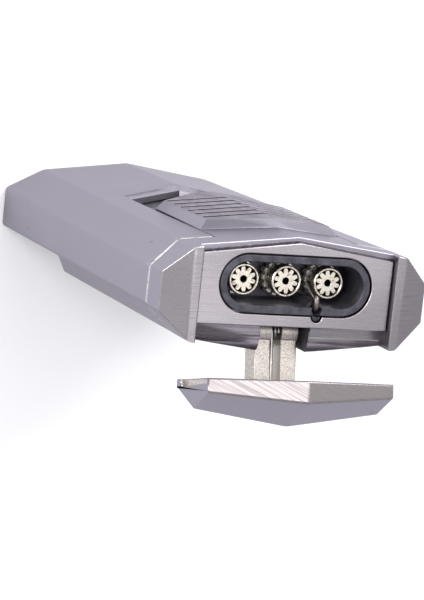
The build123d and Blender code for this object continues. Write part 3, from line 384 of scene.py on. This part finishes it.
# Moulded plastics, rubber, glazed ceramic, and soot that also serves as painted shade: even colour, a fine
# texture, no metal.
nylonLook = {"colour": "1E1F21", "tint": "2A2B2E", "roughness": 0.5, "ior": 1.53, "grainMm": 0.25}
tankLook = {"colour": "AEB6BA", "tint": "98A2A8", "roughness": 0.32, "ior": 1.49, "grainMm": 0.6}
plungerLook = {"colour": "C9C4B8", "tint": "B9B3A5", "roughness": 0.4, "ior": 1.5, "grainMm": 0.4}
ceramicLook = {"colour": "3A3633", "tint": "57504A", "roughness": 0.3, "ior": 1.6, "grainMm": 0.3}
jacketLook = {"colour": "9E2620", "tint": "7F1C18", "roughness": 0.45, "ior": 1.41, "grainMm": 0.5}
sootAndShadeLook = {"colour": "17130F", "tint": "2A221B", "roughness": 0.7, "ior": 1.5, "grainMm": 0.2}


def makeMoulded(name, look):
    material, tree, shader, place = startMaterial(name)
    grain = noise(tree, place, look["grainMm"], Detail=3.0)
    tone = mixColours(tree, grain.outputs["Fac"], linear(look["colour"]), linear(look["tint"]))
    tree.links.new(tone, shader.inputs["Base Color"])
    varyRoughness(tree, shader, grain, look["roughness"], -0.08, 0.08, 0, 1)
    roughen(tree, shader, grain, 0.15, 0.02)
    shader.inputs["IOR"].default_value = look["ior"]
    return material


gunmetal = makeGunmetal("satinGunmetalPlate", gunmetalLook)
brushedAcross = makeBrushed("brushedGunmetalPlate", brushedLook)
# The deck's brushing is lighter than the ears' brushing: painted light that makes the deck read brighter.
deckBrushedPaintedLight = makeBrushed(
    "fineBrushedGunmetalPaintedLight", dict(brushedLook, colour="B7B1B6", shade="A19AA0", hairPitchMm=0.1))
lidBrushed = makeBrushed(
    "slantBrushedGunmetalPlate", dict(brushedLook, colour="B0A9A9", shade="8A8383"),
    turn=(0, 0, math.radians(24)))
# A lighter nickel-like finish for the shell's rim bevel: a painted highlight along the lip under the head.
rimHighlightFinish = makeNickel(
    "paintedRimHighlight", dict(nickelLook, colour="CFC8CA", tarnish="8E7F76", roughness=0.34))
slideBrushed = makeBrushed(
    "softBrushedGunmetalPlate",
    dict(brushedLook, colour="958E95", shade="867F87", hairPitchMm=0.2, edgeTint="BDBABF"))
blackOxide = makeBlackOxide("blackOxidedZinc", blackOxideLook)
# Black oxide for the track and the head below the seam. The same finish darkens the slide's grooves as
# painted shade.
trackOxideAndGrooveShade = makeBlackOxide("blackOxidedSteelTrackAndGrooveShade", dict(blackOxideLook, colour="2E2D33", rubbed="4B4A52"))
nickel = makeNickel("brightNickelOnBrass", nickelLook)
wornNickel = makeNickel("flameWornNickelOnBrass", wornNickelLook)
sootAndShade = makeMoulded("sootAndPaintedShadeOnBrass", sootAndShadeLook)
castNickel = makeCast("castZincDullNickel", castLook)
brass = makeTurnedMetal("turnedBrass", brassLook)
steel = makeTurnedMetal("zincPlatedSteel", steelLook)
heatedSteel = makeTurnedMetal("heatTintedSteelWire", heatedSteelLook)
leverSteel = makeTurnedMetal("pressedSteel", leverSteelLook)
nylon = makeMoulded("mouldedBlackNylon", nylonLook)
tankPlastic = makeMoulded("mouldedSmokyAcetal", tankLook)
plungerPlastic = makeMoulded("mouldedNaturalAcetal", plungerLook)
ceramic = makeMoulded("glazedDarkCeramic", ceramicLook)
jacket = makeMoulded("extrudedSiliconeJacket", jacketLook)
print("finishes made")

# Every CAD node gets a finish, also those that a finished shape replaces.
nodeFinishes = {
    gunmetal: ["body_shell", "head_frame", "trigger", "lid"],
    deckBrushedPaintedLight: ["deck_plate"],
    blackOxide: ["base_plate", "burner_well"],
    trackOxideAndGrooveShade: ["slide_track"],
    nickel: ["jet_1", "jet_2", "jet_3", "jet_star_1", "jet_star_2", "jet_star_3"],
    wornNickel: ["jet_collar_1", "jet_collar_2", "jet_collar_3"],
    castNickel: ["lid_arm"],
    brass: [
        "refill_valve", "refill_stem", "flame_adjuster", "valve_body", "valve_stem", "gas_tube",
        "gas_manifold"],
    steel: [
        "hinge_pin", "lid_rivets", "lid_spring", "head_screws", "base_screws", "carrier_screw",
        "piezo_spring", "lever_pin"],
    heatedSteel: ["electrode"],
    leverSteel: ["valve_lever"],
    nylon: ["inner_frame", "piezo_body", "trigger_carrier"],
    tankPlastic: ["fuel_tank", "tank_cap"],
    plungerPlastic: ["piezo_plunger"],
    ceramic: ["electrode_sleeve"],
    jacket: ["ignition_lead"],
}
for finish, names in nodeFinishes.items():
    for name in names:
        nodes[name].data.materials.clear()
        nodes[name].data.materials.append(finish)

# The body shell. The CAD mesh has slivers on its slightly twisted faces, so they are cut level instead.
shellShape = {
    "edgeRound": 0.35, "baseRound": 0.8, "topRound": 0.22, "creaseDegrees": 12,
    "twistedFront": -0.9, "twistedSide": 11, "uprightNormal": 0.2, "uprightShare": 0.9,
    "sliverDegrees": 13,
    "levelStep": 4, "levelTop": 65, "facingFront": 0.4, "cornerSide": 10.8, "ridgeHalf": 0.1,
    "panelFront": 2.4, "panelTop": 29, "shortestPanelEdge": 3, "outerRimSide": 15.2, "outerRimFront": -6.4,
}
bm = cadCopy("body_shell")
slivers = []
for edge in bm.edges:
    atFront = max(v.co.y for v in edge.verts) < shellShape["twistedFront"] * mm
    atSide = max(abs(v.co.x) for v in edge.verts) > shellShape["twistedSide"] * mm
    upright = all(abs(f.normal.z) < shellShape["uprightNormal"] for f in edge.link_faces)
    gentle = abs(edge.calc_face_angle_signed(0)) < math.radians(shellShape["sliverDegrees"])
    if atFront and atSide and upright and gentle:
        slivers.append(edge)
bmesh.ops.dissolve_edges(bm, edges=slivers, use_verts=True)
joinFlatFaces(bm, flatAngle)
for level in range(shellShape["levelStep"], shellShape["levelTop"], shellShape["levelStep"]):
    facing = [f for f in bm.faces if f.normal.y < -shellShape["facingFront"]]
    corners = list(dict.fromkeys(v for f in facing for v in f.verts))
    sides = list(dict.fromkeys(e for f in facing for e in f.edges))
    bmesh.ops.bisect_plane(
        bm, geom=corners + sides + facing, dist=finest, plane_co=(0, 0, level * mm), plane_no=(0, 0, 1))
bm.normal_update()
weightLayer = bm.edges.layers.float.new("bevel_weight_edge")
topZ = max(v.co.z for v in bm.verts)
outer, base, rim = [], [], []
for edge in convexEdges(bm, shellShape["creaseDegrees"], anyLength):
    first, second = (v.co for v in edge.verts)
    upright = abs(first.z - second.z) > shellShape["uprightShare"] * edge.calc_length()
    onCorner = abs(first.x) > shellShape["cornerSide"] * mm or abs(first.x) < shellShape["ridgeHalf"] * mm
    behind = min(first.y, second.y) > shellShape["panelFront"] * mm
    onPanel = behind and max(first.z, second.z) < shellShape["panelTop"] * mm
    if max(first.z, second.z) < touching:
        base.append(edge)
    elif min(first.z, second.z) > topZ - touching:
        rim.append(edge)
    elif upright and onCorner:
        outer.append(edge)
    elif onPanel and edge.calc_length() > shellShape["shortestPanelEdge"] * mm:
        outer.append(edge)
for edges, width in ((outer, "edgeRound"), (base, "baseRound")):
    for edge in edges:
        edge[weightLayer] = shellShape[width]
outerRim = [
    e for e in rim
    if max(abs(v.co.x) for v in e.verts) > shellShape["outerRimSide"] * mm
    or min(v.co.y for v in e.verts) < shellShape["outerRimFront"] * mm]
cut = soften(bm, outerRim, shellShape["topRound"], 1)
for face in cut["faces"]:  # the bevel round the lip under the head gets a lighter finish, a painted highlight
    face.material_index = 1
    for edge in face.edges:
        edge[weightLayer] = 0
shell = makePiece(
    "bodyShell", bm, [gunmetal, rimHighlightFinish], "body", ["body_shell"], weighted=False)
rounding = shell.modifiers.new("roundedEdges", "BEVEL")
rounding.limit_method = "WEIGHT"
rounding.width = 1 * mm
rounding.segments = 4
rounding.profile = 0.5
rounding.use_clamp_overlap = False
keepFacesFlat(shell)
print("body shell made")

# The head with its two ears.
headShape = {
    "edgeRound": 0.2, "shortestEdge": 1.0, "creaseDegrees": 14, "flatDegrees": 0.5,
    "earLow": 71, "earSide": 14, "tinyEdge": 0.16, "roundedDepth": 5.6,
    "brushedSide": 13.7, "shoulderFront": 3.2, "facingUp": 0.3, "seam": 67.0,
}
bm = cadCopy("head_frame")
earLow, earSide = headShape["earLow"] * mm, headShape["earSide"] * mm
onEars = [v for v in bm.verts if v.co.z > earLow and abs(v.co.x) > earSide]
bmesh.ops.remove_doubles(bm, verts=onEars, dist=headShape["tinyEdge"] * mm)
joinFlatFaces(bm, headShape["flatDegrees"])
bm.normal_update()
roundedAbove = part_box("deck_plate")[1].z - headShape["roundedDepth"] * mm
rounded = [
    e for e in convexEdges(bm, headShape["creaseDegrees"], headShape["shortestEdge"])
    if max(v.co.z for v in e.verts) > roundedAbove]
soften(bm, rounded, headShape["edgeRound"])
for face in bm.faces:  # ears and shoulders are brushed, the rest is satin, and dark below the seam
    middle = face.calc_center_median()
    facingUp = face.normal.z > headShape["facingUp"]
    onEar = abs(middle.x) > headShape["brushedSide"] * mm
    onShoulder = middle.y > headShape["shoulderFront"] * mm
    if middle.z < headShape["seam"] * mm:
        face.material_index = 2
    elif facingUp and (onEar or onShoulder):
        face.material_index = 1
makePiece(
    "headFrame", bm, [gunmetal, brushedAcross, trackOxideAndGrooveShade], "body", ["head_frame"])
print("head made")

# The thumb slide. Its face is a shallow ridge, crest mm forward at the middle and falling to both sides.
slideShape = {
    "edgeRound": 0.09, "ribRound": 0.03, "shortestEdge": 1.0, "creaseDegrees": 14,
    "grooveHalf": 8.87, "stemHalf": 2.1, "outsideFront": -5.6, "crest": 9.397, "slope": 0.117,
    "grooveDepth": 0.5, "grooveFrom": 0.3, "grooveSlack": 0.1, "topLand": 59, "facingFront": 0.9,
}
bm = cadCopy("trigger")
outline, ribEdges = [], []
for edge in convexEdges(bm, slideShape["creaseDegrees"], slideShape["shortestEdge"]):
    first, second = (v.co for v in edge.verts)
    atGrooveEnd = abs(first.x - second.x) < touching and abs(first.x) < slideShape["grooveHalf"] * mm
    onStem = max(abs(first.x), abs(second.x)) < slideShape["stemHalf"] * mm
    outside = min(first.y, second.y) < slideShape["outsideFront"] * mm
    isRib = abs(first.z - second.z) < touching and first.z < slideShape["topLand"] * mm
    if outside and not atGrooveEnd and not onStem:
        (ribEdges if isRib else outline).append(edge)
soften(bm, ribEdges, slideShape["ribRound"], 1)
soften(bm, [edge for edge in outline if edge.is_valid], slideShape["edgeRound"], 2)
for face in bm.faces:  # the grooves get the dark oxide finish as painted shade
    depths = [
        v.co.y / mm + slideShape["crest"] - slideShape["slope"] * abs(v.co.x) / mm for v in face.verts]
    deepest = slideShape["grooveDepth"] + slideShape["grooveSlack"]
    inGrooveShade = slideShape["grooveFrom"] < max(depths) < deepest
    if inGrooveShade and face.calc_center_median().z < slideShape["topLand"] * mm:
        face.material_index = 1
    elif face.normal.y < -slideShape["facingFront"]:
        face.material_index = 2
makePiece(
    "thumbSlide", bm, [gunmetal, trackOxideAndGrooveShade, slideBrushed], "slide", ["trigger"])
print("thumb slide made")

# The lid, brushed on its upper edge and dull on the ends of its inner ribs.
lidShape = {
    "edgeRound": 0.28, "shortestEdge": 1.5, "creaseDegrees": 8,
    "facingUp": 0.8, "brushedHalf": 13.2, "facingSide": 0.9, "ribHalf": 12.95,
}
bm = cadCopy("lid")
soften(bm, convexEdges(bm, lidShape["creaseDegrees"], lidShape["shortestEdge"]), lidShape["edgeRound"])
for face in bm.faces:
    fromMiddle = abs(face.calc_center_median().x)
    if face.normal.z > lidShape["facingUp"] and fromMiddle < lidShape["brushedHalf"] * mm:
        face.material_index = 1
    elif abs(face.normal.x) > lidShape["facingSide"] and fromMiddle < lidShape["ribHalf"] * mm:
        face.material_index = 2
makePiece("flipLid", bm, [gunmetal, lidBrushed, castNickel], "lid", ["lid"])
print("lid made")

# The deck plate, a thin brushed plate with a slot-shaped opening that bulges at the spark wire.
plate = {
    "halfWidth": 13.7, "frontMiddle": 7.46, "frontEnd": 5.62, "back": 3.85, "low": 70.5, "high": 72.0,
    "openingLength": 21.9, "openingWidth": 8.15, "openingY": -1.75, "bumpX": -3.4, "bumpRadius": 0.8,
    "edgeRound": 0.12, "bumpSteps": 40,
}
bumpY = plate["openingY"] + plate["openingWidth"] / 2
bm = prism([
    (0, -plate["frontMiddle"]), (plate["halfWidth"], -plate["frontEnd"]),
    (plate["halfWidth"], plate["back"]), (-plate["halfWidth"], plate["back"]),
    (-plate["halfWidth"], -plate["frontEnd"])], plate["low"], plate["high"])
under, over = plate["low"] - past, plate["high"] + past
opening = combine(
    stadium(plate["openingLength"], plate["openingWidth"], plate["openingY"], under, over),
    peg(plate["bumpX"], bumpY, plate["bumpRadius"], under, over, plate["bumpSteps"]), "UNION")
bm = combine(bm, opening, "DIFFERENCE")
soften(bm, topEdges(bm, plate["high"]), plate["edgeRound"])
makePiece("deckPlate", bm, [deckBrushedPaintedLight], "body", ["deck_plate"], smooth=28)

# The burner well, a black cup under the plate with a boss for the spark wire.
well = {
    "length": 21.5, "width": 7.75, "rim": 1.0, "low": 63.2, "high": 71.9, "floor": 64.0, "y": -1.75,
    "bossX": -3.4, "bossY": 1.45, "bossRadius": 1.15, "bossTop": 70.8, "wireHole": 0.7,
    "jetHole": 1.7, "jetPitch": 6.1, "bumpRadius": 0.6, "edgeRound": 0.18, "longestArcStep": 0.4,
    "straightMiddle": 2, "jetHoleRise": 0.5, "holeSteps": 40, "bossSteps": 48,
}
bm = combine(
    stadium(well["length"], well["width"], well["y"], well["low"], well["high"]),
    peg(well["bossX"], bumpY, well["bumpRadius"], well["low"], well["high"], well["holeSteps"]), "UNION")
cavity = combine(
    stadium(
        well["length"] - 2 * well["rim"], well["width"] - 2 * well["rim"], well["y"],
        well["floor"], well["high"] + past),
    peg(
        well["bossX"], well["bossY"], well["bossRadius"], well["floor"] - past, well["bossTop"],
        well["bossSteps"]), "DIFFERENCE")
bm = combine(bm, cavity, "DIFFERENCE")
under = well["low"] - past
wireHole = peg(
    well["bossX"], well["bossY"], well["wireHole"], under, well["high"] + past, well["holeSteps"])
bm = combine(bm, wireHole, "DIFFERENCE")
for number in (-1, 0, 1):
    jetHole = peg(
        number * well["jetPitch"], well["y"], well["jetHole"], under,
        well["floor"] + well["jetHoleRise"], well["bossSteps"])
    bm = combine(bm, jetHole, "DIFFERENCE")
rimEdges = [
    e for e in topEdges(bm, well["high"])
    if e.calc_length() < well["longestArcStep"] * mm
    or abs(e.verts[0].co.x + e.verts[1].co.x) < well["straightMiddle"] * mm]
soften(bm, rimEdges, well["edgeRound"])
makePiece("burnerWell", bm, [blackOxide], "body", ["burner_well"], smooth=28)
print("deck plate and burner well made")

# The gas jets: each has a ringed head, a ten-petal star in it and a knurled collar below.
jet = {
    "y": -1.75, "low": 63.0, "bore": 1.0, "tubeRadius": 1.65, "tubeEdge": 0.1,
    "face": 68.5, "headRadius": 2.15, "headHeight": 2.1, "headEdge": 0.12,
    "faceEdge": 0.13, "roundFrom": 0.16, "roundMiddle": 0.06, "roundIn": 0.04, "recessSlope": 0.1,
    "grooveAt": 0.85, "grooveHalf": 0.1, "grooveDepth": 0.07,
    "lip": 1.8, "lipEdge": 0.07, "recess": 1.5, "sootAndShadeBelow": 0.5, "steps": 72,
    "starTop": 68.25, "starThickness": 0.25, "starRadius": 1.74, "starHole": 0.47, "starEdge": 0.05,
    "starTurn": 0.2, "petals": 10, "gapDepth": 0.62, "gapSharpness": 5, "gapReach": 1.2, "starSteps": 240,
    "collarRadius": 2.5, "collarTop": 65.95, "collarHeight": 1.5, "collarEdge": 0.12, "collarGap": 0.05,
    "notches": 14, "notchSteps": 8, "notchDepth": 0.34, "notchReach": 2.2, "notchFrom": -0.35,
}


def armFromAxis(vert, x):  # level arrow from a jet's axis to a corner
    return Vector((vert.co.x - x * mm, vert.co.y - jet["y"] * mm, 0))


for number in (1, 2, 3):
    x = (number - 2) * well["jetPitch"]
    face, under = jet["face"], jet["face"] - jet["headHeight"]
    wide, groove = jet["headRadius"], under + jet["grooveAt"]
    bm = turned(x, jet["y"], [
        (jet["bore"], jet["low"]), (jet["tubeRadius"] - jet["tubeEdge"], jet["low"]),
        (jet["tubeRadius"], jet["low"] + jet["tubeEdge"]), (jet["tubeRadius"], under),
        (wide - jet["headEdge"], under), (wide, under + jet["headEdge"]),
        (wide, groove - jet["grooveHalf"]), (wide - jet["grooveDepth"], groove),
        (wide, groove + jet["grooveHalf"]),
        (wide, face - jet["roundFrom"]), (wide - jet["roundIn"], face - jet["roundMiddle"]),
        (wide - jet["faceEdge"], face),
        (jet["lip"] + jet["lipEdge"], face), (jet["lip"], face - jet["lipEdge"]),
        (jet["lip"], face - jet["recess"]), (jet["bore"], face - jet["recess"] - jet["recessSlope"])],
        jet["steps"])
    for part in bm.faces:  # soot and painted shade inside, below the star, so the gaps between the petals read dark
        middle = part.calc_center_median()
        reach = math.hypot(middle.x - x * mm, middle.y - jet["y"] * mm)
        inside = reach < jet["lip"] * mm + touching
        part.material_index = 1 if inside and middle.z < (face - jet["sootAndShadeBelow"]) * mm else 0
    makePiece("jet%d" % number, bm, [nickel, sootAndShade], "body", ["jet_%d" % number])

    top, low = jet["starTop"], jet["starTop"] - jet["starThickness"]
    hole, tips, edge = jet["starHole"], jet["starRadius"], jet["starEdge"]
    bm = turned(x, jet["y"], [
        (hole, low), (tips, low), (tips, top - edge), (tips - edge, top), (hole + edge, top),
        (hole, top - edge)], jet["starSteps"])
    for vert in bm.verts:  # pulls the rim in between the petals
        arm = armFromAxis(vert, x)
        if arm.length > jet["gapReach"] * mm:
            angle = math.atan2(arm.y, arm.x) + jet["starTurn"]
            depth = abs(math.sin(angle * jet["petals"] / 2)) ** jet["gapSharpness"]
            vert.co -= arm.normalized() * (jet["gapDepth"] * mm * depth)
    makePiece("jetStar%d" % number, bm, [nickel], "body", ["jet_star_%d" % number])

    top, low = jet["collarTop"], jet["collarTop"] - jet["collarHeight"]
    inner, wide, edge = jet["tubeRadius"] + jet["collarGap"], jet["collarRadius"], jet["collarEdge"]
    bm = turned(x, jet["y"], [
        (inner, low), (wide - edge, low), (wide, low + edge), (wide, top - edge), (wide - edge, top),
        (inner, top)], jet["notches"] * jet["notchSteps"])
    for vert in bm.verts:  # presses the knurl's notches in
        arm = armFromAxis(vert, x)
        inNotch = math.cos(math.atan2(arm.y, arm.x) * jet["notches"]) < jet["notchFrom"]
        if arm.length > jet["notchReach"] * mm and inNotch:
            vert.co -= arm.normalized() * jet["notchDepth"] * mm
    makePiece(
        "jetCollar%d" % number, bm, [wornNickel], "body", ["jet_collar_%d" % number],
        smooth=25)
print("jets made")


def wire(name, points, radius, order=3):  # round wire along a smooth curve, as a mesh
    curve = bpy.data.curves.new(name, "CURVE")
    curve.dimensions = "3D"
    spline = curve.splines.new("NURBS")
    spline.points.add(len(points) - 1)
    for point, (x, y, z) in zip(spline.points, points):
        point.co = (x * mm, y * mm, z * mm, 1)
    spline.use_endpoint_u = True
    spline.order_u = order
    spline.resolution_u = 8
    curve.bevel_depth = radius * mm
    curve.bevel_resolution = 5
    curve.use_fill_caps = True
    holder = bpy.data.objects.new(name + "Curve", curve)
    scene.collection.objects.link(holder)
    bpy.context.view_layer.update()
    graph = bpy.context.evaluated_depsgraph_get()
    mesh = bpy.data.meshes.new_from_object(holder.evaluated_get(graph))
    bm = bmesh.new()
    bm.from_mesh(mesh)
    bpy.data.objects.remove(holder)
    bpy.data.curves.remove(curve)
    bpy.data.meshes.remove(mesh)
    bmesh.ops.remove_doubles(bm, verts=bm.verts, dist=finest)
    bmesh.ops.recalc_face_normals(bm, faces=bm.faces)
    return bm


# The spark wire, bent over the edge of its boss towards the jets, and its ceramic sleeve.
spark = {
    "radius": 0.45, "x": -3.4, "y": 1.45, "low": 60.9, "straightTo": 66, "top": 71.45,
    "bendBelow": 1.2, "bendStart": 0.1, "bendAcross": 1.5,
    "hookX": -3.3, "hookAcross": 1.9, "hookBelow": 1.1, "tipX": -3.05, "tipY": -1.75, "tipZ": 68.6,
    "sleeveBore": 0.47, "sleeveRadius": 0.68, "sleeveLow": 62.1, "sleeveTop": 70.3,
    "sleeveEdge": 0.12, "sleeveBevel": 0.1, "sleeveSteps": 40,
}
bm = wire("sparkWire", [
    (spark["x"], spark["y"], spark["low"]), (spark["x"], spark["y"], spark["straightTo"]),
    (spark["x"], spark["y"], spark["top"] - spark["bendBelow"]),
    (spark["x"], spark["y"], spark["top"] - spark["bendStart"]),
    (spark["x"], spark["y"] - spark["bendAcross"], spark["top"]),
    (spark["hookX"], spark["y"] - spark["hookAcross"], spark["top"] - spark["hookBelow"]),
    (spark["tipX"], spark["tipY"], spark["tipZ"])], spark["radius"])
makePiece("sparkWire", bm, [heatedSteel], "body", ["electrode"], smooth=40, weighted=False)
bore, wide, low, top = (spark["sleeve" + word] for word in ("Bore", "Radius", "Low", "Top"))
bm = turned(spark["x"], spark["y"], [
    (bore, low), (wide, low), (wide, top - spark["sleeveEdge"]), (wide - spark["sleeveBevel"], top),
    (bore, top)], spark["sleeveSteps"])
makePiece("sparkSleeve", bm, [ceramic], "body", ["electrode_sleeve"], weighted=False)
print("spark wire made")

# The hinge: two cast arms on a foot, drawn upright and then swung open, and the pin.
hinge = {
    "pinY": 5.58, "pinZ": 65.28, "openDegrees": 77.3, "hubRadius": 2.0, "pinHole": 0.86,
    "armInner": 0.75, "armOuter": 3.05, "armFront": -1.5, "armBack": 2.0, "lidLow": 6.97,
    "footHalf": 6.0, "footThickness": 0.8, "overlap": 0.1, "flatDegrees": 0.6, "creaseDegrees": 50,
    "shortestEdge": 1.6, "edgeRound": 0.22, "pinRadius": 0.8, "pinHalf": 6.5, "pinEdge": 0.12,
}
pinPlace = Vector((0, hinge["pinY"] * mm, hinge["pinZ"] * mm))
openTurn = Matrix.Translation(pinPlace) @ Matrix.Rotation(-math.radians(hinge["openDegrees"]), 4, "X")


def crosswiseCylinder(radius, left, right, segments=56):  # a round bar along X through the hinge's axis
    bm = bmesh.new()
    turn = Matrix.Translation(((left + right) / 2 * mm, 0, 0)) @ Matrix.Rotation(math.pi / 2, 4, "Y")
    bmesh.ops.create_cone(
        bm, cap_ends=True, segments=segments, radius1=radius * mm, radius2=radius * mm,
        depth=(right - left) * mm, matrix=turn)
    return bm


arms = None
front, back = hinge["armFront"], hinge["armBack"]
for left, right in ((-hinge["armOuter"], -hinge["armInner"]), (hinge["armInner"], hinge["armOuter"])):
    arm = combine(
        crosswiseCylinder(hinge["hubRadius"], left, right),
        block((left, front, 0), (right, back, hinge["lidLow"] + hinge["overlap"])), "UNION")
    arm = combine(arm, crosswiseCylinder(hinge["pinHole"], left - past, right + past, 40), "DIFFERENCE")
    arms = arm if arms is None else combine(arms, arm, "UNION")
foot = block(
    (-hinge["footHalf"], front, hinge["lidLow"]),
    (hinge["footHalf"], back, hinge["lidLow"] + hinge["footThickness"]))
bm = combine(arms, foot, "UNION")
joinFlatFaces(bm, hinge["flatDegrees"])
soften(bm, convexEdges(bm, hinge["creaseDegrees"], hinge["shortestEdge"]), hinge["edgeRound"])
bmesh.ops.transform(bm, matrix=openTurn, verts=bm.verts)
makePiece("hingeArms", bm, [castNickel], "lid", ["lid_arm"], smooth=30)

bm = crosswiseCylinder(hinge["pinRadius"], -hinge["pinHalf"], hinge["pinHalf"])
soften(bm, convexEdges(bm, hinge["creaseDegrees"], anyLength), hinge["pinEdge"])
bmesh.ops.translate(bm, vec=pinPlace, verts=bm.verts)
makePiece("hingePin", bm, [steel], "body", ["hinge_pin"])
print("hinge made")

# The pale floor.
floorShape = {
    "half": 1.4, "belowMm": 0.02, "colour": "F4F4F6", "mottle": "F7F7F9", "mottleScale": 3.0,
    "roughness": 0.6,
}
material, tree, shader, place = startMaterial("paleStudioFloor")
mottle = addNode(tree, "ShaderNodeTexNoise", {
    "Vector": place, "Scale": floorShape["mottleScale"], "Detail": 2.0})
tone = mixColours(
    tree, mottle.outputs["Fac"], linear(floorShape["colour"]), linear(floorShape["mottle"]))
tree.links.new(tone, shader.inputs["Base Color"])
shader.inputs["Roughness"].default_value = floorShape["roughness"]
bm = bmesh.new()
bmesh.ops.create_grid(bm, x_segments=1, y_segments=1, size=floorShape["half"])
mesh = bpy.data.meshes.new("studioFloor")
bm.to_mesh(mesh)
bm.free()
mesh.materials.append(material)
studioFloor = bpy.data.objects.new("studioFloor", mesh)
studioFloor.location.z = -floorShape["belowMm"] * mm
scene.collection.objects.link(studioFloor)

# Light: three soft boxes and an even sky. Places and sizes are in metres.
studio = {
    "overheadBox": {"place": (-0.05, -0.14, 0.66), "size": 0.44, "power": 1.4},
    "keyBox": {"place": (-0.35, -0.6, 0.5), "size": 0.4, "power": 4.6},
    "fillBox": {"place": (0.6, -0.25, 0.55), "size": 0.5, "power": 4.0},
}
lightsAim = Vector((0, 0, 0.04))
skyLook = {"colour": "EFEFF3", "strength": 0.72}


def softBox(name, place, size, power):
    lamp = bpy.data.lights.new(name, "AREA")
    lamp.shape = "SQUARE"
    lamp.size = size
    lamp.energy = power
    holder = bpy.data.objects.new(name, lamp)
    holder.location = place
    holder.rotation_mode = "QUATERNION"
    holder.rotation_quaternion = (lightsAim - Vector(place)).to_track_quat("-Z", "Y")
    scene.collection.objects.link(holder)


for name, values in studio.items():
    softBox(name, **values)
world = bpy.data.worlds.new("studioSky")
world.use_nodes = True
sky = world.node_tree.nodes["Background"]
sky.inputs["Color"].default_value = linear(skyLook["colour"])
sky.inputs["Strength"].default_value = skyLook["strength"]
scene.world = world
scene.view_settings.view_transform = "Standard"

view = {
    "place": (0.15164, -0.05806, 0.42484), "aim": (0.011735, 0.000671, 0.072), "rollDegrees": 117.285,
    "lens": 175.93, "sensor": 36, "nearest": 0.01, "farthest": 20,
}
camera = bpy.data.cameras.new("productCamera")
camera.lens = view["lens"]
camera.sensor_width = view["sensor"]
camera.clip_start, camera.clip_end = view["nearest"], view["farthest"]
viewer = bpy.data.objects.new("productCamera", camera)
viewer.location = view["place"]
viewer.rotation_mode = "QUATERNION"
aimTurn = (Vector(view["aim"]) - Vector(view["place"])).to_track_quat("-Z", "Y")
rollTurn = Matrix.Rotation(math.radians(view["rollDegrees"]), 3, "Z").to_quaternion()
viewer.rotation_quaternion = aimTurn @ rollTurn
scene.collection.objects.link(viewer)
scene.camera = viewer
print("studio made")
